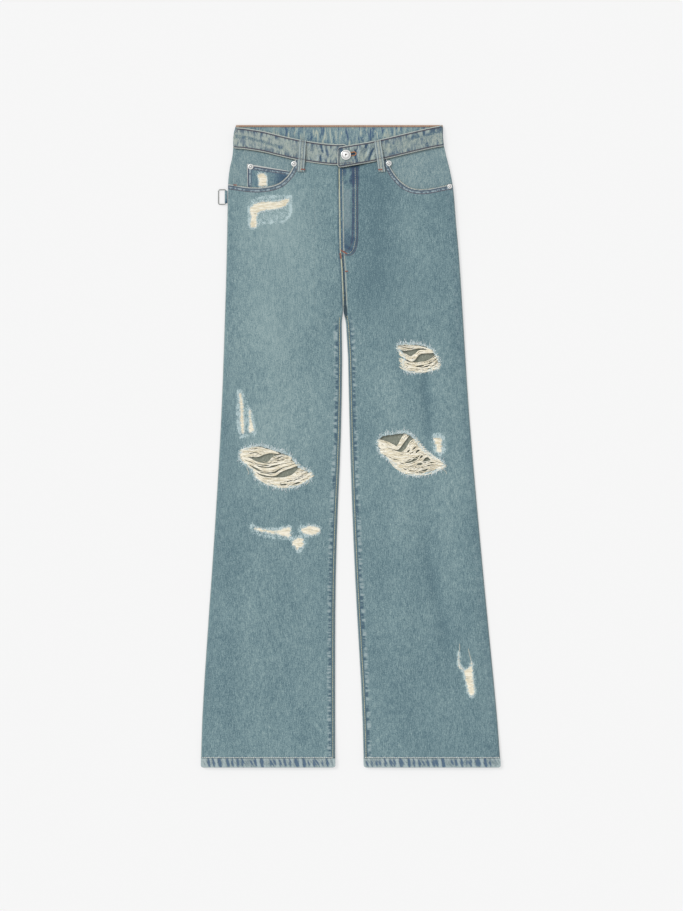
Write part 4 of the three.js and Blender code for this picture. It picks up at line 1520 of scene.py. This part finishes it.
# Bundles of bare weft across each rip: count, upper guide, lower guide.
BUNDLES = {
    "knee_right": [
        (20, [(-181, -6), (-166, -1.5), (-152, -1.5), (-133, -6), (-121, -10)],
         [(-181, -14.5), (-168, -17.5), (-152, -17), (-141, -12.5), (-130, -11), (-119, -13)]),
        (9, [(-131, -20.5), (-125, -16), (-114, -14), (-100, -17)],
         [(-136, -27), (-125, -28), (-112, -25), (-98, -21)]),
        (11, [(-183, -13), (-166, -20), (-155, -26), (-141, -29), (-125, -28.5), (-112, -25), (-97, -21)],
         [(-183, -20), (-163, -26), (-152, -31), (-139, -32.5), (-125, -31), (-111, -28), (-95, -25)]),
        (12, [(-181, -20), (-161, -29), (-150, -35), (-136, -36), (-126, -34), (-114, -30.5), (-93, -26)],
         [(-177, -27), (-158, -34), (-147, -40), (-133, -42.5), (-125, -41), (-116, -36.5), (-91, -28)]),
        (9, [(-174, -27), (-155, -40), (-141, -44), (-130, -46), (-123, -44), (-111, -36.5), (-88, -29)],
         [(-166, -35), (-152, -44), (-139, -48), (-127, -49), (-120, -46), (-111, -40), (-84, -31)]),
        (17, [(-163, -36), (-150, -48), (-136, -51.5), (-120, -52), (-106, -50.5), (-95, -46), (-85, -37),
              (-76, -35)],
         [(-157, -51), (-143, -60), (-129, -65), (-111, -58), (-97, -53), (-84, -47), (-72, -43)]),
        (16, [(-130, -57), (-108, -54), (-93, -51.5), (-84, -48), (-66, -43)],
         [(-130, -66), (-108, -69.5), (-88, -64.5), (-74, -58), (-62, -50)]),
    ],
    "knee_left": [
        (14, [(45, 11.5), (61, 7), (71, 2), (76, 0), (81, 9), (88, 20)],
         [(45.5, 3.5), (63, -2), (76, -6), (80, -3.5), (87, 6), (95, 17)]),
        (34, [(46, 3), (67, -5), (83, -10), (92, -2), (99, 9), (108, 13)],
         [(49.5, -11.5), (72, -20), (90, -24), (105, -18), (116, -11), (131, -14)]),
        (31, [(58, -15), (87, -23), (105, -18), (117, -11.5), (132, -14), (149, -25)],
         [(71, -34), (90, -45.5), (111, -48), (133, -44.5), (158, -33)]),
    ],
    "thigh_left": [
        (8, [(76, 165), (92, 167), (112, 165), (131, 160)],
         [(77, 160), (90, 158), (109, 161), (123, 161), (136, 155)]),
        (12, [(80, 157), (92, 151), (99, 148), (107, 153), (114, 158), (133, 159)],
         [(82, 149), (94, 142.5), (102, 139.5), (110, 148), (116, 152.5), (136, 154)]),
        (20, [(81, 147), (94, 139), (105, 138), (118, 139), (129, 142), (142, 152)],
         [(82, 129), (96, 123), (112, 121.5), (129, 123.5), (148, 129)]),
    ],
}
# Small partings between the threads: start, end, half height.
PARTINGS = {
    "knee_right": [((-160, -27.5), (-131, -33.5), 1.2), ((-150, -43), (-128, -46), 1.0)],
    "knee_left": [
        ((90, -27.5), (111, -19.5), 2.6), ((108, -31), (118, -27), 1.9), ((119, -28), (132, -14), 3.2),
        ((114, -20), (120, -13), 2.2), ((92, -11), (98, -6), 1.4), ((101, -5), (108, -2), 1.4),
        ((106, -10), (113, -6), 1.4), ((80, -14), (90, -12), 0.8),
    ],
    "thigh_left": [((95, 131.5), (120, 132), 0.8)],
}


def parted(line, partings, wobble):
    """Pushes a thread off the small partings in the weave, each to the side it mostly runs on."""
    x, y = line[:, 0], line[:, 1].copy()
    for start, end, half in partings:
        share = np.clip((x - start[0]) / (end[0] - start[0]), 0, 1)
        away = y - blend(start[1], end[1], share)
        within = between(x, start[0] - 2, start[0] + 2, end[0] - 2, end[0] + 2)
        push = math.copysign(half, (away * within).sum())
        y += push * within * np.exp(-((away / (1.8 * half)) ** 2))
    return np.column_stack([x, y + wobble])


THREAD_POINTS = 60


def guide(points):
    """A bundle's edge, whose ends run on over the cloth at each side of the gap."""
    p = np.array(points, float)
    start, end = p[0] - p[1], p[-1] - p[-2]
    first = p[0] + start / np.linalg.norm(start) * 2.5
    last = p[-1] + end / np.linalg.norm(end) * 2.5
    return resampled(smooth_line(np.vstack([first, p[1:-1], last]), 0.5), THREAD_POINTS)


def any_seed(draw):
    return int(draw.integers(1e6))


def weft_thread(draw, drape, top, bottom, level, partings, rim):
    """One bare thread between a bundle's two edges: it lies on the cloth, and sags over the gap."""
    shares = np.linspace(0, 1, THREAD_POINTS)
    drift = 0.14 * ripple(shares, 0.5, any_seed(draw))
    flat = blend(top, bottom, np.clip(level + drift, 0, 1)[:, None])
    flat = parted(flat, partings, 0.3 * ripple(flat[:, 0], 9, any_seed(draw)))
    first, last = draw.integers(0, 4), THREAD_POINTS - draw.integers(0, 4)
    flat = flat[first:last:2]
    over = drape.heights(flat)
    sag = rim - 0.1 - 1.3 * draw.uniform(0.0, 1.0)
    z = softened(np.where(over < rim - 1.6, sag, over + 0.3), 2)
    z = z + 0.35 * ripple(shares[first:last:2], 0.3, any_seed(draw))
    return np.column_stack([flat, z])


def rip_threads(drape, name, seed):
    """The bundles of weft left bare across a rip."""
    draw = np.random.default_rng(seed)
    rim = np.median(drape.heights(offset_line(closed(RIPS[name]), 3)[::12]))
    lines, radii = [], []
    for count, upper, lower in BUNDLES[name]:
        top, bottom = guide(upper), guide(lower)
        count = int(count * 1.3)
        for i in range(count):
            level = np.clip((i + draw.uniform(-0.6, 0.6)) / (count - 1), 0, 1)
            lines.append(weft_thread(draw, drape, top, bottom, level, PARTINGS[name], rim))
            radii.append(draw.uniform(0.4, 0.7))
    threads(f"rip_threads_{name}", lines, radii, "weft")


def warp_end(draw, spot, away, thick, length, outward):
    """One torn end, upright along the warp but leaning away from the damage, and bent."""
    upright = np.array([draw.uniform(-0.5, 0.5), np.sign(away[1] + 1e-6) * draw.uniform(0.5, 1.0)])
    heading = 0.75 * upright + away * draw.uniform(0.2, 0.9)
    heading = heading / np.linalg.norm(heading)
    reach = blend(*length, draw.uniform() ** 1.7) * (0.5 + 0.5 * abs(away[1]) + 0.3 * thick)
    start = spot + away * draw.uniform(-1.2, outward * 0.5)
    bend = np.array([-heading[1], heading[0]]) * reach * draw.uniform(-0.45, 0.45)
    share = np.linspace(0, 1, 5)[:, None]
    return start + heading * reach * share + bend * share**2


def fringe(drape, name, outlines, seed, spacing=0.62, length=(1.6, 8.5), outward=4.0):
    """Short torn warp ends, standing out round the edge of damage."""
    draw = np.random.default_rng(seed)
    lines, radii = [], []
    for outline in outlines:
        loop = spaced(closed(outline), spacing)
        out = offset_line(loop, -1.0) - loop
        if inside(loop[:1] + 2.0 * out[:1], outline)[0]:
            out = -out
        dense = ripple(np.arange(len(loop)) * spacing, 9, seed + 5)
        for spot, away, thick in zip(loop, out, dense):
            if draw.uniform(-1.1, 0.4) > thick + 0.5 * abs(away[1]):
                continue
            line = warp_end(draw, spot, away, thick, length, outward)
            z = drape.heights(line)
            z = np.maximum(z, z.max() - 0.8) + 0.5 + draw.uniform(0, 0.5) * np.linspace(0, 1, len(z))
            lines.append(np.column_stack([line, z]))
            radii.append(draw.uniform(0.2, 0.4))
    threads(name, lines, radii, "fringe", sides=4, taper=0.5)


def row_spans(outline, y):
    """Where a level line crosses a closed outline, in pairs."""
    ends = np.roll(outline, -1, 0)
    hit = (outline[:, 1] > y) != (ends[:, 1] > y)
    a, b = outline[hit], ends[hit]
    x = np.sort(a[:, 0] + (y - a[:, 1]) / (b[:, 1] - a[:, 1]) * (b[:, 0] - a[:, 0]))
    return zip(x[::2], x[1::2])


def worn_yarns(drape, name, outlines, seed):
    """Rows of bare weft left standing where the warp is worn away."""
    draw = np.random.default_rng(seed)
    lines, radii = [], []
    spans = (
        (y, *span)
        for outline in outlines
        for y in np.arange(outline[:, 1].min() + 0.4, outline[:, 1].max(), 0.95)
        for span in row_spans(outline, y)
    )
    for y, start, end in spans:
        start, end = start - draw.uniform(-1.6, 1.8), end + draw.uniform(-1.6, 1.8)
        if end - start > 5 and draw.uniform() < 0.5:
            cut = draw.uniform(start, end)
            start, end = (start, cut) if cut - start > end - cut else (cut, end)
        if end - start < 1.5 or draw.uniform() < 0.1:
            continue
        x = np.linspace(start, end, max(4, int((end - start) / 1.6)))
        line = np.column_stack([x, y + 0.25 * ripple(x, 8, any_seed(draw))])
        z = drape.heights(line) + 0.12 + 0.12 * ripple(x, 3.5, any_seed(draw))
        z[[0, -1]] -= 0.25
        lines.append(np.column_stack([line, z]))
        radii.append(draw.uniform(0.34, 0.46))
    threads(name, lines, radii, "weft")


# A few long loose yarns that hang out of the damage. The first lies along the right knee's rim.
STRAYS = [
    [(-128, -12), (-127, -17), (-131, -23), (-139, -27), (-146, -24)],
    [(-72, -50), (-69, -54), (-70, -60), (-74, -64)],
    [(-170, -30), (-171, -37), (-168, -43), (-170, -47)],
    [(150, -38), (156, -41), (158, -46)],
    [(179, -325), (179.6, -333), (178, -341), (177, -350), (179, -358)],
    [(193.5, -333), (195.5, -342), (197.5, -350), (199, -360)],
]


def stray_threads(drape):
    lines = []
    for path in STRAYS:
        flat = smooth_line(path, 1.2)
        lines.append(np.column_stack([flat, drape.heights(flat) + 0.5]))
    first = lines[0][:, 2]
    lines[0][:, 2] = np.maximum(first, first.max() - 0.6)
    threads("stray_threads", lines, 0.3, "weft")


def torn_threads(drape):
    for i, name in enumerate(RIPS):
        rip_threads(drape, name, 200 + i)
        fringe(drape, f"fringe_{name}", [RIPS[name]], 220 + i)
    worn = [*WORN["right"], *WORN["left"], WORN_COIN]
    worn_yarns(drape, "worn_yarns", worn, 240)
    fringe(drape, "fringe_worn", worn, 250, spacing=1.0, length=(1.2, 4.4), outward=1.4)
    stray_threads(drape)


# ---------------------------------------------------------------- metal


def lathe(name, profile, centre, around):
    """A round piece from its (radius, height) profile."""
    turn = np.linspace(0, 2 * math.pi, around, endpoint=False)
    radius, height = np.array(profile, float).T
    x = centre[0] + radius[:, None] * np.cos(turn)
    y = centre[1] + radius[:, None] * np.sin(turn)
    z = np.broadcast_to(centre[2] + height[:, None], x.shape)
    points = np.stack([x.ravel(), y.ravel(), z.ravel()], axis=1)
    return mesh_object(name, points, tube_faces(len(profile), around))


def round_solid(node):
    """The centre of a round solid's foot, its radius and its height."""
    low, high = box(node)
    middle = (low + high) / 2
    return np.array([middle[0], middle[1], low[2]]), (high[0] - low[0]) / 2, high[2] - low[2]


def cap(node, name, profile, around, dirt, share, width):
    """The turned head of a button or rivet, with dirt in a groove at a share of its radius."""
    centre, radius, _ = round_solid(node)
    piece = attach(lathe(name, profile, centre, around), ["steel"], nodes=[node])
    points = np.array([v.co for v in piece.data.vertices]) / MM
    out = np.hypot(points[:, 0] - centre[0], points[:, 1] - centre[1]) / radius
    give(piece, "groove", dirt * np.exp(-(((out - share) / width) ** 2)))


def button():
    """The shank button: a rolled rim, a ring, a domed middle and a dark hub in it."""
    centre, radius, tall = round_solid("waist_button")
    rings = [  # share of the radius, and how far below the top
        (0.93, 2.5), (1.0, 1.9), (0.97, 1.3), (0.86, 1.0), (0.76, 1.3), (0.68, 1.25), (0.5, 0.6), (0.3, 0.15),
        (0.24, 0.05), (0.2, 0.5),
    ]
    profile = [(1.4, 0.05), (1.4, tall - 2.9), *((radius * r, tall - down) for r, down in rings)]
    cap("waist_button", "button_cap", [*profile, (0.1, tall - 0.6)], 56, 0.6, 0.72, 0.1)
    profile = [(radius * 0.19, 0), (radius * 0.19, 0.12), (0.1, 0.16)]
    attach(lathe("button_hub", profile, centre + [0, 0, tall - 0.62], 24), ["dark_steel"])


def rivet(node):
    """A rivet: a rounded rim and a raised dot."""
    _, radius, tall = round_solid(node)
    rings = [(0.8, 0.62), (0.5, 0.6), (0.42, 0.5), (0.36, 0.6), (0.3, 0.92)]  # shares of radius and height
    profile = [(radius * 0.9, 0), (radius, 0.25), (radius * 0.97, 0.6)]
    profile += [(radius * r, tall * h) for r, h in rings]
    cap(node, f"{node}_cap", [*profile, (0.1, tall)], 32, 0.85, 0.42, 0.12)


def wire_ring():
    """The ring's round wire, bent to a rounded rectangle on its bar."""
    low, high = box("side_ring")
    pivot = np.array(frame["joints"][0]["pos_m"]) / MM
    wire, reach, corner = 0.9, 12.2, 2.6
    half = (high[1] - low[1]) / 2 - wire
    tilt = math.asin((pivot[2] - wire) / reach)
    corners = [
        (-corner, half - corner, 0), (-reach + corner, half - corner, 90),
        (-reach + corner, -half + corner, 180), (-corner, -half + corner, 270),
    ]
    outline = []
    for x, y, start in corners:
        for angle in np.radians(start + np.linspace(0, 90, 8)):
            outline.append((x + corner * math.cos(angle), y + corner * math.sin(angle)))
    out, along = spaced(closed(outline), 0.6).T
    line = np.column_stack([
        pivot[0] + out * math.cos(tilt), (low[1] + high[1]) / 2 + along, pivot[2] + out * math.sin(tilt)
    ])
    piece = tubes("ring_wire", [line], 0.88, sides=14, taper=1.0)
    attach(piece, ["wire"], body="ring", nodes=["side_ring"])


# ---------------------------------------------------------------- scene


def floor():
    """A pale floor that glows a little, so that it shows as the photo's near-white."""
    edge = 60000.0  # half its width, past every view of it
    corners = [(-edge, -edge, -0.3), (edge, -edge, -0.3), (edge, edge, -0.3), (-edge, edge, -0.3)]
    piece = mesh_object("floor", corners, [(0, 1, 2, 3)])
    nodes = Nodes("floor_paint")
    nodes.put(nodes.shader.inputs["Emission Color"], (255, 255, 255))
    nodes.put(nodes.shader.inputs["Emission Strength"], 0.54)
    piece.data.materials.append(nodes.finish([0.37, 0.37, 0.37, 1], 0.95))


def studio():
    """Even white surroundings and one large soft light."""
    world = bpy.data.worlds.new("studio")
    bpy.context.scene.world = world
    world.use_nodes = True
    sky = world.node_tree.nodes["Background"]
    sky.inputs["Color"].default_value = (1, 1, 1, 1)
    sky.inputs["Strength"].default_value = 0.70
    light = bpy.data.lights.new("key", "SUN")
    light.energy = 1.45
    light.angle = math.radians(24)
    lamp = bpy.data.objects.new("key", light)
    lamp.rotation_euler = Vector((0.62, -0.5, -0.75)).to_track_quat("-Z", "Y").to_euler()
    bpy.context.scene.collection.objects.link(lamp)
    bpy.context.scene.view_settings.view_transform = "Standard"


def camera():
    """Looks straight down on the laid garment."""
    data = bpy.data.cameras.new("camera")
    data.lens = 100
    data.sensor_width = 36
    data.clip_end = 50
    shot = bpy.data.objects.new("camera", data)
    shot.location = (-0.0153, -0.0153, 4.175)
    bpy.context.scene.collection.objects.link(shot)
    bpy.context.scene.camera = shot


build_cloth()
drape = Drape()
sew(drape)
sew_underside()
torn_threads(drape)
button()
for node in ("rivet_coin_pocket", "rivet_pocket_right", "rivet_pocket_left", "rivet_side_left"):
    rivet(node)
wire_ring()
camera()
floor()
studio()
